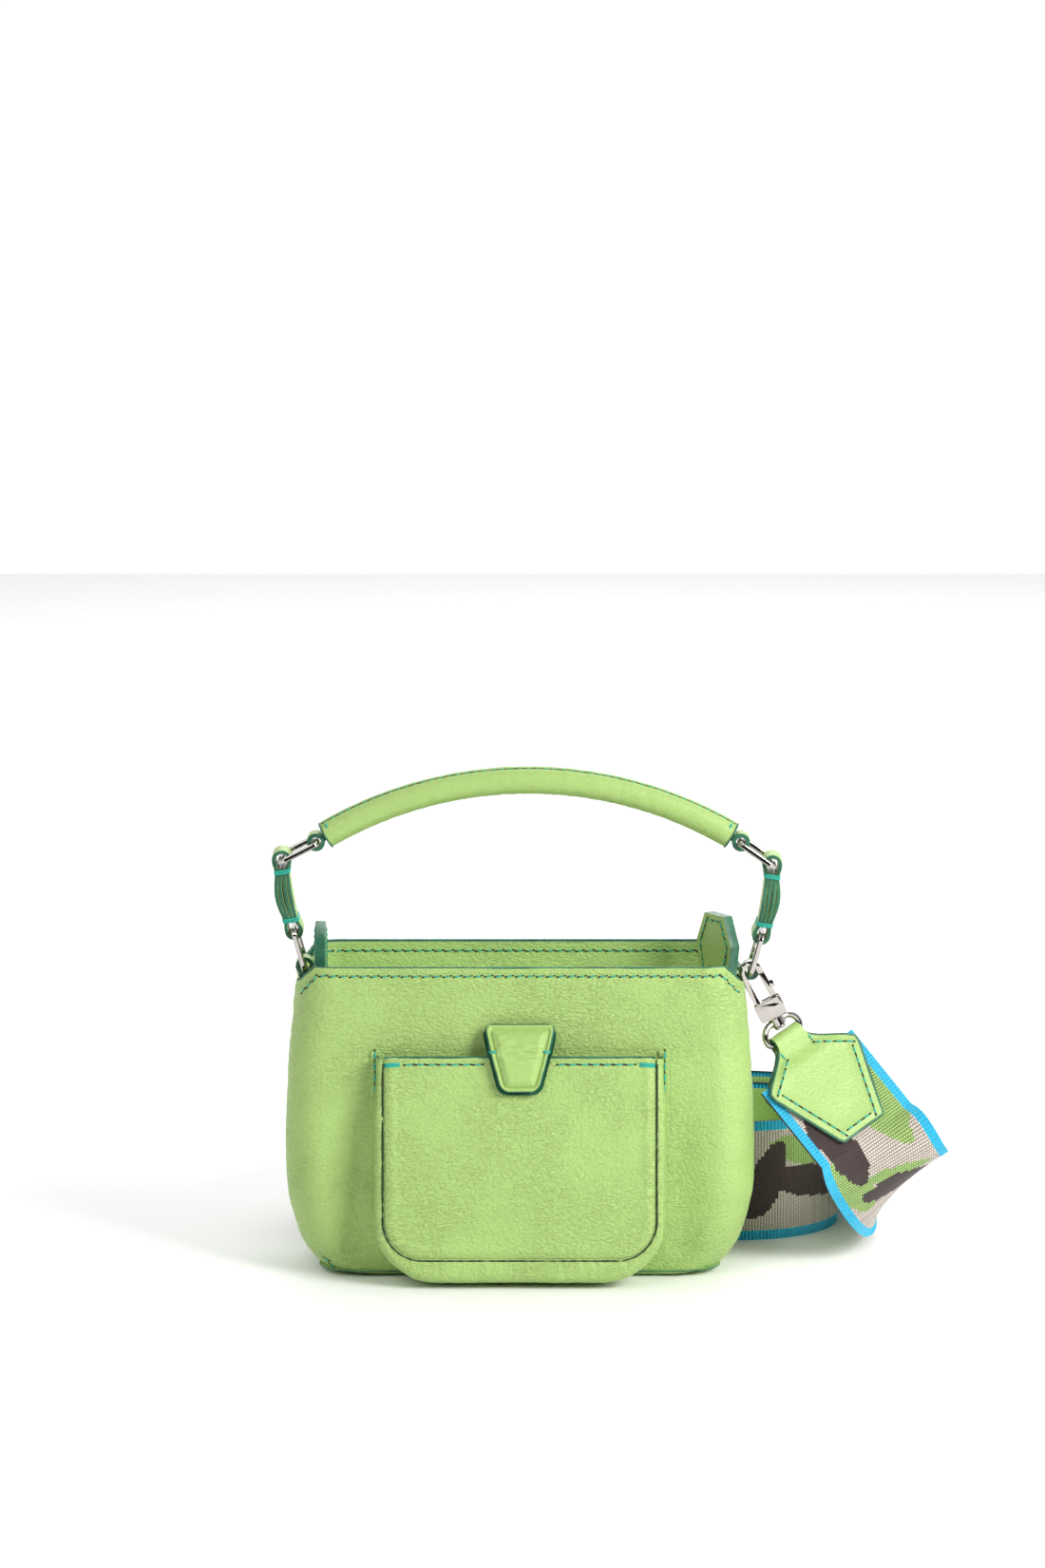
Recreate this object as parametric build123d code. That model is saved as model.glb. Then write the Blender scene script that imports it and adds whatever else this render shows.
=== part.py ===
from build123d import *
from math import atan2, cos, degrees, hypot, pi, radians, sin, sqrt, tan
import os

# Small leather handbag with a front pocket, a rolled handle hung on rectangular rings, and a wide
# webbing shoulder strap that is clipped on at one side and coiled behind the bag.
# Millimetres. Origin: centre of the bag's underside. +X right, +Y to the back, +Z up.

# ---- bag body -------------------------------------------------------------------------------
body_height = 127.5          # floor to the top edge of the front and back panels
belly_half_width = 95.0
base_half_width = belly_half_width - 23.0
mouth_half_width = belly_half_width - 5.5
belly_half_depth = 35.0
base_half_depth = belly_half_depth - 8.0
mouth_half_depth = belly_half_depth - 4.0
belly_height = 48.0          # height of the widest section
body_corner = 16.0           # plan radius of the soft vertical corners
leather = 2.0
lining_thick = 1.0
gusset_half_depth = 15.0     # the side gussets reach this far to each side of the middle
gusset_drop = 12.5           # the gussets end this far below the top edge
chamfer_run = 6.5            # the panels' cut top corners
chamfer_drop = 7.5
chamfer_side = 9.0           # the cut runs on this far past the corner
board_thick = 2.0
board_margin = 6.0

# ---- front pocket ---------------------------------------------------------------------------
pocket_half_width = 55.5
pocket_top = 93.0
pocket_bottom = 12.0
pocket_corner = 16.0
pocket_mouth = 6.4           # clear gap between the bag and the pocket's top edge
pocket_belly = 20.0          # the same gap at the pocket's bottom edge
pocket_side_swell = 3.0      # the gusset stands this far outside the panel
pocket_base_swell = 8.5
gusset_leather = 1.8
gusset_lip = 9.0             # the gusset's front lip under the panel

# ---- closure tab on the pocket --------------------------------------------------------------
tab_top = 106.0
tab_crease = 96.0            # the tab folds along this line
tab_bottom = 80.0
tab_top_half_width = 14.6
tab_bottom_half_width = 7.6
tab_layers = {"closure_flap": 1.5, "flap_padding": 1.2, "flap_lining": 1.1}
tab_lift_gap = 0.4           # clear space between the flap and the pocket
crease_gap = 0.3
tab_bottom_corner = 4.0
tab_top_corner = 3.0
tab_head_rise = 3.4          # the fixed part stands this far off the bag
tab_head_slope = 5.5
magnet_radius = 4.0
magnet_thick = 1.0
magnet_height = 86.5

# ---- handle linkage: rings and link straps, all turning about Y ------------------------------
ring_pitch = 15.5            # between the centres of a ring's two short bars
ring_inner_depth = 17.0
ring_bar = 2.6               # bar width in the plane of the ring
ring_thick = 2.2
ring_edge = 0.6
link_pitch = 29.5            # between the two loops of a link strap
link_width = 13.0
link_thick = 6.0
loop_hole = 2.1              # radius of a leather loop's hole
loop_leather = 1.6
open_loop_hole = 2.6         # the link's top loop is looser, so the linkage can fold
open_loop_leather = 1.4
ring_loop_width = 8.0
handle_loop_width = 9.0
tack_width = 1.4
tack_thick = 0.5
tack_inset = 5.0             # from a loop's centre to its bar tack

# Where each lower ring hangs, and the lean of lower ring, link and upper ring, in degrees from
# straight up. Positive leans outward.
sides = {
    "left": {
        "sign": -1,
        "x": mouth_half_width - 2.2,
        "z": body_height - 4.3,
        "leans": (15.5, 9.5, -63.0),
    },
    "right": {
        "sign": 1,
        "x": mouth_half_width + 4.1,
        "z": body_height - 6.3,
        "leans": (16.0, 8.5, -55.0),
    },
}

# ---- handle ---------------------------------------------------------------------------------
handle_radius = 5.5
handle_wall = 2.0
handle_apex = body_height + 71.5   # height of the centreline at its top
handle_end_rise = 30.0       # degrees, from a loop up into the handle
handle_end_gap = 0.5         # from a loop's outside to the handle's cut end
tail_depth = 12.0            # how far a loop's tail reaches into the handle
tail_width = 5.6

# ---- side tabs standing in the gussets --------------------------------------------------------
side_tab_thick = 4.4
side_tab_half_widths = (8.0, 12.0, 6.5)   # at the foot, at the widest, at the top
side_tab_height = 46.0
side_tab_widest = 34.0
side_tab_foot = body_height - 29.5
side_tab_stand_off = 2.0     # from the strip behind it to the tab
side_tab_pad = 12.0          # height of the pad that joins a tab to its strip
slot_above_gusset = 6.0
strip_gap = 0.2              # between the lining and a ring loop's strip
bridge_share = 0.6           # how much of the loop's wall the bridge meets
side_tab_forward_lean = {"left": 21.0, "right": 0.0}
side_tab_turn = {"left": 0.0, "right": 22.0}
side_tab_slot = (7.0, 2.6)

# ---- clasps ---------------------------------------------------------------------------------
hook_slot = 2.5              # inner radius of the hook's bowl
hook_arm = 2.4
hook_thick = 2.8
hook_reach = 13.0            # bowl centre to the block
block_length = 8.0
block_half_width = 5.75
block_thick = 6.0
gate_gap = 0.3
gate_thick = 2.8
gate_side_gap = 0.2
gate_pin_radius = 0.8
gate_pin_clear = 0.05
gate_pin_reach = 15.0
gate_hub = 1.8
gate_nub = (1.6, 3.2, 8.0)   # thickness, length and distance below the bowl's centre
gate_well = 1.6              # the block is cut out this far past its middle line
gate_well_floor = 3.0
spring_radius = 0.8
nose_length = 2.0
boss_radius = 3.3
boss_length = 3.3
rivet_radius = 1.3
rivet_clear = 0.07
rivet_head_radius = 2.4
rivet_head_thick = 1.4
rivet_depth = 2.1            # how far the rivet reaches into the block
swivel_gap = 0.3             # along the rivet, each side of the boss
swivel_wire = 1.3
swivel_half_width = 8.8
swivel_corner = 2.6
swivel_shoulder = 5.2        # rounding of the ring's corners beside the boss
clasp_length = 31.0          # bowl centre to the swivel ring's straight bar
hook_side_gap = 0.85         # between the hook and the strap loop beside it on the bar

# ---- shoulder strap -------------------------------------------------------------------------
web_width = 50.0
web_thick = 1.6
backing_width = web_width - 4.0
backing_thick = 1.4
end_leather = 1.8            # each leather leaf of an end tab
end_loop_hole = 1.7
end_neck_half_width = 7.0
end_neck = 4.0               # bar centre to where the shoulders start
end_shoulder = 16.0          # bar centre to the widest line
end_half_width = web_width / 2 - 0.7
end_length = 49.0
end_tip_half_width = 11.0
web_start = 13.0             # the webbing starts this far from the bar
front_run_y = belly_half_depth + 4.0
inner_turn = (belly_half_width - 4.0, 40.0)   # centre X and radius of the right-hand turn
outer_turn = (-30.0, 52.0)   # centre X and radius of the left-hand turn
back_run_y = front_run_y + 2 * outer_turn[1]
tab_b_bar_x = -20.0          # where the loose end's bar lies
clasp_a_lean = Vector(0.47, 0.046, -0.88)
end_a_run = Vector(0.66, -0.25, -0.70)
end_a_across = Vector(0.74, 0.50, 0.45)
# The hanging stretch: how many web widths outside the belly the middle of the band is, its share
# of the way to the back run, how many web widths above a standing band's middle, and the
# direction across it towards its upper edge.
hang_points = [
    (1.09, -0.0804, 0.51, 0.73, 0.40, 0.55),
    (1.23, 0.0594, 0.29, 0.69, 0.18, 0.70),
    (1.25, 0.2378, 0.132, 0.63, 0.00, 0.78),
    (1.16, 0.4266, 0.06, 0.42, -0.06, 0.90),
    (0.94, 0.6294, 0.018, 0.22, -0.05, 0.97),
    (0.58, 0.8112, 0.004, 0.08, -0.03, 1.00),
    (0.12, 0.9476, 0.0, 0.00, 0.00, 1.00),
    (-0.18, 0.9874, 0.0, 0.00, 0.00, 1.00),
]
join_x = belly_half_width - web_width / 2   # where the hanging stretch meets the standing coil
lead = 3.0                   # straight run that leaves an end tab or enters the coil
hang_steps = 28
turn_steps = 14

far = 400.0                  # past every face, for cutting blocks

os.makedirs("parts", exist_ok=True)
written = {}


def save(name, shape):
    export_step(shape, f"parts/{name}.step")
    written[name] = shape


def block(x0, x1, y0, y1, z0, z1):
    middle = Pos((x0 + x1) / 2, (y0 + y1) / 2, (z0 + z1) / 2)
    return middle * Box(x1 - x0, y1 - y0, z1 - z0)


def rod_y(x, z, radius, half_length, y=0.0):
    return Pos(x, y, z) * Rot(90, 0, 0) * Cylinder(radius, 2 * half_length)


def swell(base, belly, mouth, z):
    """Half size at height z: a quarter ellipse up to the belly, then a gentle draw-in."""
    if z < belly_height:
        return base + (belly - base) * sqrt(1 - (1 - z / belly_height) ** 2)
    rise = (z - belly_height) / (body_height - belly_height)
    return belly - (belly - mouth) * rise**2


def half_width(z):
    return swell(base_half_width, belly_half_width, mouth_half_width, z)


def half_depth(z):
    return swell(base_half_depth, belly_half_depth, mouth_half_depth, z)


def body_solid(inset, floor):
    """The bag's outer form, drawn in by inset, from the height floor up to the top edge."""
    steps = [0.0, 0.03, 0.12, 0.3, 0.55, 1.0]
    heights = [floor + (belly_height - floor) * s for s in steps]
    rises = [0.3, 0.55, 0.8, 1.0]
    heights += [belly_height + (body_height - belly_height) * r for r in rises]
    sections = []
    for z in heights:
        wide = 2 * (half_width(z) - inset)
        deep = 2 * (half_depth(z) - inset)
        sections.append(Pos(0, 0, z) * RectangleRounded(wide, deep, body_corner - inset))
    return loft(sections, ruled=True)


# ---- bag body -------------------------------------------------------------------------------
def cut_top(shape):
    """Cut the panels' top corners, and lower the gussets between them."""
    x_in = mouth_half_width - chamfer_run
    x_out = mouth_half_width + chamfer_run
    slope = chamfer_drop / chamfer_run
    for sign in (-1, 1):
        corner = Polyline(
            (sign * x_in, body_height + 1),
            (sign * x_in, body_height),
            (sign * x_out, body_height - slope * (x_out - x_in)),
            (sign * (x_out + chamfer_side), body_height - slope * (x_out - x_in)),
            (sign * (x_out + chamfer_side), body_height + 1),
            close=True,
        )
        shape -= extrude(Plane.XZ * make_face(corner), far / 2, both=True)
        low = body_height - gusset_drop
        edge = gusset_half_depth
        x_side = sorted((sign * (x_in - chamfer_side), sign * far))
        shape -= block(*x_side, -edge, edge, low, far)
    return shape


outer_form = body_solid(0.0, 0.0)
leather_inner = body_solid(leather, leather)
shell = cut_top(outer_form - leather_inner)
upper_shell = shell - block(-far, far, -far, far, -1, leather)


def make_body():
    edge = gusset_half_depth
    save("base_panel", shell & block(-far, far, -far, far, -1, leather))
    save("front_panel", upper_shell & block(-far, far, -far, -edge, 0, far))
    save("back_panel", upper_shell & block(-far, far, edge, far, 0, far))
    save("gusset_left", upper_shell & block(-far, 0, -edge, edge, 0, far))
    save("gusset_right", upper_shell & block(0, far, -edge, edge, 0, far))
    inside = leather + lining_thick
    lining = cut_top(leather_inner - body_solid(inside, inside))
    save("lining", lining)
    wide = half_width(inside) - inside - board_margin
    deep = half_depth(inside) - inside - board_margin / 2
    board = Pos(0, 0, inside + board_thick / 2) * Box(2 * wide, 2 * deep, board_thick)
    save("base_board", fillet(board.edges().filter_by(Axis.Z), body_corner / 2))


# ---- pocket ---------------------------------------------------------------------------------
pocket_face_top = -half_depth(pocket_top) - pocket_mouth - leather
pocket_face_bottom = -half_depth(pocket_bottom) - pocket_belly - leather
pocket_tilt = atan2(pocket_face_top - pocket_face_bottom, pocket_top - pocket_bottom)


def pocket_y(z):
    """Y of the pocket panel's front face at height z."""
    return pocket_face_top - (pocket_top - z) * tan(pocket_tilt)


def u_shape(half, bottom, top, corner):
    """A U outline in the XZ plane: straight top, round bottom corners."""
    height = top - bottom
    plate = Pos(0, bottom + height / 2) * Rectangle(2 * half, height)
    low = plate.vertices().sort_by(Axis.Y)[:2]
    return Plane.XZ * fillet(low, corner)


def behind_pocket_plane(back, front=-far):
    """Everything between two planes parallel to the pocket panel, measured behind its face."""
    side = Polyline(
        (pocket_y(-20) + back, -20),
        (pocket_y(150) + back, 150),
        (pocket_y(150) + front, 150),
        (pocket_y(-20) + front, -20),
        close=True,
    )
    return extrude(Plane.YZ * make_face(side), far / 2, both=True)


def pocket_slab(outline, back, front):
    return extrude(outline, far / 2, both=True) & behind_pocket_plane(back, front)


def magnet_at(front, thick, radius=magnet_radius):
    face = Vector(0, pocket_y(magnet_height), magnet_height)
    normal = Vector(0, -cos(pocket_tilt), sin(pocket_tilt))
    disc = Plane(origin=face + normal * front, x_dir=(1, 0, 0), z_dir=normal)
    return extrude(disc * Circle(radius), -thick)


def make_pocket():
    slant = leather / cos(pocket_tilt)
    panel = u_shape(pocket_half_width, pocket_bottom, pocket_top, pocket_corner)
    magnet = magnet_at(-(leather - magnet_thick), magnet_thick)
    save("pocket_front", pocket_slab(panel, slant, 0.0) - magnet)
    save("pocket_magnet", magnet)
    half = pocket_half_width + pocket_side_swell
    low = pocket_bottom - pocket_base_swell
    radius = pocket_corner + pocket_base_swell
    outer = u_shape(half, low, pocket_top, radius)
    wall = gusset_leather
    inner = u_shape(half - wall, low + wall, pocket_top + 1, radius - wall)
    depth = far / 2
    band = pocket_slab(outer, depth, slant) - extrude(inner, far / 2, both=True)
    band &= block(-far, far, -far, 0, 0, pocket_top)
    lip_half = pocket_half_width - gusset_lip
    hole = u_shape(lip_half, pocket_bottom + gusset_lip, pocket_top + 1, pocket_corner - gusset_lip / 2)
    lip = pocket_slab(outer, slant + wall, slant) - extrude(hole, far / 2, both=True)
    save("pocket_gusset", (band + lip) - outer_form)


# ---- closure tab ----------------------------------------------------------------------------
flap_back = tab_lift_gap
flap_front = tab_lift_gap + sum(tab_layers.values())


def tab_outline(low, high, inset=0.0):
    """The tapering tab between two heights, in the XZ plane."""
    def half(z):
        share = (z - tab_bottom) / (tab_top - tab_bottom)
        return tab_bottom_half_width + (tab_top_half_width - tab_bottom_half_width) * share
    corners = [
        (-half(low) + inset, low),
        (half(low) - inset, low),
        (half(high) - inset, high),
        (-half(high) + inset, high),
    ]
    return make_face(Polyline(*corners, close=True))


def make_closure_tab():
    lower = tab_outline(tab_bottom, tab_crease - crease_gap)
    lower = Plane.XZ * fillet(lower.vertices().sort_by(Axis.Y)[:2], tab_bottom_corner)
    front = flap_front / cos(pocket_tilt)
    magnet = magnet_at(flap_back + magnet_thick, magnet_thick)
    for name, thick in tab_layers.items():
        slant = thick / cos(pocket_tilt)
        layer = pocket_slab(lower, slant - front, -front)
        if name == "flap_lining":
            layer -= magnet
        save(name, layer)
        front -= slant
    save("flap_magnet", magnet)
    crease_y = pocket_y(tab_crease) - flap_front / cos(pocket_tilt)
    head_y = -half_depth(tab_top) - tab_head_rise
    side = Polyline(
        (0, tab_top),
        (head_y, tab_top),
        (crease_y, tab_crease + crease_gap),
        (pocket_y(tab_crease) - flap_back, tab_crease + crease_gap),
        (0, tab_top - tab_head_slope),
        close=True,
    )
    upper = tab_outline(tab_crease + crease_gap, tab_top)
    upper = Plane.XZ * fillet(upper.vertices().sort_by(Axis.Y)[-2:], tab_top_corner)
    block_side = extrude(Plane.YZ * make_face(side), far / 2, both=True)
    save("closure_tab_base", (extrude(upper, far / 2, both=True) & block_side) - outer_form)


# ---- rings, links and handle ----------------------------------------------------------------
loop_radius = loop_hole + loop_leather


def lean_step(sign, degrees_out, length):
    return Vector(sign * length * sin(radians(degrees_out)), 0, length * cos(radians(degrees_out)))


def pivots(side):
    """The four pivot centres of one side, from the bag up to the handle."""
    lower, link, upper = side["leans"]
    p0 = Vector(side["sign"] * side["x"], 0, side["z"])
    p1 = p0 + lean_step(side["sign"], lower, ring_pitch)
    p2 = p1 + lean_step(side["sign"], link, link_pitch)
    p3 = p2 + lean_step(side["sign"], upper, ring_pitch)
    return p0, p1, p2, p3


def between(a, b):
    """A plane at the middle of a and b whose Z runs from a to b and whose Y is the bag's Y."""
    run = (b - a).normalized()
    across = Vector(0, 1, 0).cross(run)
    return Plane(origin=(a + b) / 2, x_dir=across, z_dir=run)


def make_ring(a, b):
    long_side = ring_pitch + ring_bar
    deep = ring_inner_depth + 2 * ring_bar
    outline = RectangleRounded(deep, long_side, ring_bar)
    opening = RectangleRounded(ring_inner_depth, ring_pitch - ring_bar, 1.0)
    frame = extrude(outline - opening, ring_thick / 2, both=True)
    frame = fillet(frame.edges(), ring_edge * 0.99)
    upright = Rot(0, 0, 90) * Rot(90, 0, 0) * frame
    return between(a, b).location * upright


def make_link(a, b):
    place = between(a, b)
    waist = place.location * Box(link_thick, link_width, link_pitch)
    strap = waist
    holes = {loop_hole: a, open_loop_hole: b}
    strap += rod_y(a.X, a.Z, loop_radius, link_width / 2)
    strap += rod_y(b.X, b.Z, open_loop_hole + open_loop_leather, link_width / 2)
    for radius, end in holes.items():
        strap -= rod_y(end.X, end.Z, radius, link_width)
    tacks = []
    for sign in (-1, 1):
        height = sign * (link_pitch / 2 - tack_inset)
        wrap = Box(link_thick + 2 * tack_thick, link_width + 2 * tack_thick, tack_width)
        wrap = Pos(0, 0, height) * wrap
        ring = (place.location * wrap) - waist
        tacks.append(ring)
    for ring in tacks:
        strap -= ring
    return strap, Compound(children=tacks)


def handle_end(side):
    """The cut end's centre and the direction from the loop into the handle."""
    p3 = pivots(side)[3]
    rise = radians(handle_end_rise)
    into = Vector(-side["sign"] * cos(rise), 0, sin(rise))
    return p3 + into * (loop_radius + handle_end_gap), into


def make_handle():
    start = handle_end(sides["left"])[0]
    stop = handle_end(sides["right"])[0]
    apex = Vector((start.X + stop.X) / 2, 0, handle_apex)
    arc = ThreePointArc(start, apex, stop)
    section = Plane(origin=start, z_dir=arc % 0)
    outer = sweep(section * Circle(handle_radius), path=arc)
    inner = sweep(section * Circle(handle_radius - handle_wall), path=arc)
    cover = outer - inner
    core = inner
    for name, side in sides.items():
        centre, into = handle_end(side)
        end_share = 0 if side["sign"] < 0 else 1
        along = (arc % end_share) * -side["sign"]
        p3 = pivots(side)[3]
        barrel = rod_y(p3.X, p3.Z, loop_radius, handle_loop_width / 2)
        across = Vector(0, 1, 0).cross(along)
        tail_place = Plane(origin=centre, x_dir=across, z_dir=along)
        tail_thick = 2 * loop_leather
        tail = tail_place.location * Pos(0, 0, tail_depth / 2) * Box(tail_thick, tail_width, tail_depth)
        neck_place = between(p3, centre)
        neck = neck_place.location * Box(tail_thick, tail_width, (centre - p3).length + 0.4)
        loop = barrel + neck + tail - rod_y(p3.X, p3.Z, loop_hole, handle_loop_width)
        save(f"handle_loop_{name}", loop)
        core -= tail_place.location * Box(4 * handle_radius, 4 * handle_radius, 2 * tail_depth)
        cover -= neck + tail
    save("handle_cover", cover)
    save("handle_core", core)


def make_linkage():
    for name, side in sides.items():
        p0, p1, p2, p3 = pivots(side)
        save(f"lower_ring_{name}", make_ring(p0, p1))
        save(f"upper_ring_{name}", make_ring(p2, p3))
        strap, tacks = make_link(p1, p2)
        save(f"link_strap_{name}", strap)
        save(f"link_tacks_{name}", tacks)


# ---- ring loops and side tabs ---------------------------------------------------------------
def lining_face(z):
    """Distance from the middle to the lining's inner face at the gusset."""
    return half_width(z) - leather - lining_thick


def make_side_fittings():
    for name, side in sides.items():
        sign = side["sign"]
        p0 = pivots(side)[0]
        half = ring_loop_width / 2
        stack = lining_face(body_height - gusset_drop) - strip_gap
        thick = 2 * loop_leather
        bridge_top = p0.Z - loop_hole + bridge_share * loop_leather
        bridge_low = p0.Z - loop_radius
        xs = sorted((sign * (stack - thick), sign * abs(p0.X)))
        drop_x = sorted((sign * (stack - thick), sign * stack))
        loop = rod_y(p0.X, p0.Z, loop_radius, half)
        loop += block(*xs, -half, half, bridge_low, bridge_top)
        loop += block(*drop_x, -half, half, side_tab_foot, bridge_top)
        loop -= rod_y(p0.X, p0.Z, loop_hole, ring_loop_width)
        save(f"ring_loop_{name}", loop)
        foot, wide, top = side_tab_half_widths
        rise = [0, side_tab_widest, side_tab_height]
        edge = [(w, z) for w, z in zip((foot, wide, top), rise)]
        outline = Polyline(*edge, *[(-w, z) for w, z in reversed(edge)], close=True)
        plate = extrude(Plane.YZ * make_face(outline), side_tab_thick / 2, both=True)
        slot_wide, slot_high = side_tab_slot
        slot_z = body_height - gusset_drop + slot_above_gusset - side_tab_foot
        plate -= Pos(0, 0, slot_z) * Box(3 * side_tab_thick, slot_wide, slot_high)
        plate = Rot(side_tab_forward_lean[name], 0, side_tab_turn[name]) * plate
        x = sign * (stack - thick - side_tab_thick / 2 - side_tab_stand_off)
        tab = Pos(x, 0, side_tab_foot) * plate
        pad_x = sorted((x, sign * (stack - thick)))
        pad = block(*pad_x, -half, half, side_tab_foot, side_tab_foot + side_tab_pad)
        save(f"side_tab_{name}", tab + pad - loop)


# ---- clasps: drawn with the bowl's centre at the origin and the strap below --------------------
def xz(outline, thick):
    return extrude(Plane.XZ * outline, thick / 2, both=True)


def hook_shape():
    outer = hook_slot + hook_arm
    middle = hook_slot + hook_arm / 2
    bowl = Circle(outer) - Circle(hook_slot)
    bowl -= Pos(0, -outer) * Rectangle(2 * outer, 2 * outer)
    spine = Pos(-middle, -hook_reach / 2) * Rectangle(hook_arm, hook_reach)
    nose = Pos(middle, -nose_length / 2) * Rectangle(hook_arm, nose_length)
    arms = xz(bowl + spine + nose, hook_thick)
    body = xz(
        Pos(0, -hook_reach - block_length / 2) * RectangleRounded(2 * block_half_width, block_length, 1.2),
        block_thick,
    )
    half_well = gate_thick / 2 + gate_side_gap
    well_low = -hook_reach - block_length + gate_well_floor
    well_x = (-gate_well, block_half_width + 1)
    body -= block(*well_x, -half_well, half_well, well_low, -hook_reach + 1)
    body -= rod_y(middle, -gate_pin_reach, gate_pin_radius, block_thick)
    body -= Pos(0, 0, -hook_reach - block_length) * Cylinder(rivet_radius, 2 * rivet_depth)
    return body + arms


def gate_shape():
    middle = hook_slot + hook_arm / 2
    top = -nose_length - gate_gap
    root = -gate_pin_reach
    arm = Pos(middle, (top + root) / 2) * Rectangle(hook_arm, top - root)
    hub = Pos(middle, root) * Circle(gate_hub)
    nub_thick, nub_long, nub_reach = gate_nub
    nub = Pos(middle + hook_arm / 2 + nub_thick / 2 - 0.2, -nub_reach) * Rectangle(nub_thick, nub_long)
    gate = xz(arm + hub + nub, gate_thick)
    return gate - rod_y(middle, root, gate_pin_radius + gate_pin_clear, gate_thick)


def gate_pin_shape():
    return rod_y(hook_slot + hook_arm / 2, -gate_pin_reach, gate_pin_radius, block_thick / 2)


def gate_spring_shape():
    middle = hook_slot + hook_arm / 2
    left, right = -gate_well, middle - gate_hub
    height = -hook_reach - 0.9
    return Pos((left + right) / 2, 0, height) * Rot(0, 90, 0) * Cylinder(spring_radius, right - left)


def rivet_shape():
    top = -hook_reach - block_length + rivet_depth
    shank_end = -hook_reach - block_length - boss_length - 2 * swivel_gap
    shank = Pos(0, 0, (top + shank_end) / 2) * Cylinder(rivet_radius, top - shank_end)
    head = Pos(0, 0, shank_end - rivet_head_thick / 2) * Cylinder(rivet_head_radius, rivet_head_thick)
    return shank + fillet(head.edges(), 0.5)


def swivel_ring_shape():
    boss_top = -hook_reach - block_length - swivel_gap
    bridge = boss_top - boss_length / 2
    low = -clasp_length
    height = bridge - low
    outline = Pos(0, (bridge + low) / 2) * Rectangle(2 * swivel_half_width, height)
    outline = fillet(outline.vertices().sort_by(Axis.Y)[:2], swivel_corner)
    outline = fillet(outline.vertices().sort_by(Axis.Y)[-2:], swivel_shoulder)
    path = (Plane.XZ * outline).faces()[0].outer_wire()
    start = path @ 0
    wire = sweep(Plane(origin=start, z_dir=path % 0) * Circle(swivel_wire), path=path)
    boss = Pos(0, 0, bridge) * Cylinder(boss_radius, boss_length)
    shank = Pos(0, 0, bridge) * Cylinder(rivet_radius + rivet_clear, 2 * boss_length)
    return wire + boss - shank


def make_clasp(letter, hook_place, ring_place):
    save(f"hook_{letter}", hook_place * hook_shape())
    save(f"gate_{letter}", hook_place * gate_shape())
    save(f"gate_pin_{letter}", hook_place * gate_pin_shape())
    save(f"gate_spring_{letter}", hook_place * gate_spring_shape())
    save(f"swivel_rivet_{letter}", hook_place * rivet_shape())
    save(f"swivel_ring_{letter}", ring_place * swivel_ring_shape())


# ---- strap ends -----------------------------------------------------------------------------
def end_tab_shape():
    """Leather folded round the ring's bar and down both faces of the strap. The webbing's outer
    face looks along +Y; the bar is at the origin and the strap runs down -Z."""
    side = [
        (end_neck_half_width, 0),
        (end_neck_half_width, -end_neck),
        (end_half_width, -end_shoulder),
        (end_tip_half_width, -end_length),
    ]
    outline = Polyline(*side, *[(-x, z) for x, z in reversed(side)], close=True)
    leaf = make_face(outline)
    leaf = fillet(leaf.vertices().sort_by(Axis.Y)[:-2], 1.5)
    front, back = web_thick, -backing_thick
    plate = extrude(Plane.XZ * leaf, far / 2, both=True)
    leaves = plate & block(-far, far, back - end_leather, front + end_leather, -far, 0)
    leaves -= block(-far, far, back, front, -far, -web_start)
    barrel_radius = end_loop_hole + end_leather
    half = end_neck_half_width
    barrel = Rot(0, 90, 0) * Cylinder(barrel_radius, 2 * half)
    hole = Rot(0, 90, 0) * Cylinder(end_loop_hole, 4 * half)
    return leaves + barrel - hole


def hang_place(beyond, share, above):
    x = belly_half_width + beyond * web_width
    return Vector(x, share * back_run_y, (0.5 + above) * web_width)


def hanging_stations():
    """Planes along the hanging stretch: X across the band, Y out of its webbing face, Z along it."""
    bar, run = end_a_place.origin, end_a_place.z_dir * -1
    start = bar + run * web_start
    leave = bar + run * (end_length + lead)
    join = Vector(join_x, back_run_y, web_width / 2)
    level = Vector(0, 0, 1)
    points = [leave, leave + run * lead]
    points += [hang_place(*p[:3]) for p in hang_points]
    points += [join + Vector(lead, 0, 0), join]
    across = [bar_dir_a, bar_dir_a] + [Vector(*p[3:]) for p in hang_points] + [level, level]
    path = Spline(*points)
    shares = [path.param_at_point(p) for p in points]
    places = [Plane(origin=p, x_dir=bar_dir_a, z_dir=run) for p in (start, leave)]
    for step in range(1, hang_steps + 1):
        share = step / hang_steps
        index = max(i for i, s in enumerate(shares[:-1]) if s <= share)
        part = (share - shares[index]) / (shares[index + 1] - shares[index])
        ahead = path % share
        edge = across[index] * (1 - part) + across[index + 1] * part
        edge = (edge - ahead * edge.dot(ahead)).normalized()
        places.append(Plane(origin=path @ share, x_dir=edge, z_dir=ahead))
    return places


def turn_stations(centre_x, radius, start_angle):
    """Half a turn in plan, going round anticlockwise from the start angle."""
    places = []
    for step in range(turn_steps + 1):
        angle = radians(start_angle + 180 * step / turn_steps)
        out = Vector(cos(angle), sin(angle), 0)
        centre = Vector(centre_x, front_run_y + radius, web_width / 2)
        ahead = Vector(-sin(angle), cos(angle), 0)
        places.append(Plane(origin=centre + out * radius, x_dir=(0, 0, 1), z_dir=ahead))
    return places


def strap_stations():
    """The whole strap: hanging stretch, outer back run, left turn, front run, right turn, end."""
    end = Vector(tab_b_bar_x + web_start, front_run_y + 2 * inner_turn[1], web_width / 2)
    places = hanging_stations()
    places += turn_stations(*outer_turn, 90)
    places += turn_stations(*inner_turn, -90)
    places.append(Plane(origin=end, x_dir=(0, 0, 1), z_dir=(-1, 0, 0)))
    return places


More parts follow.
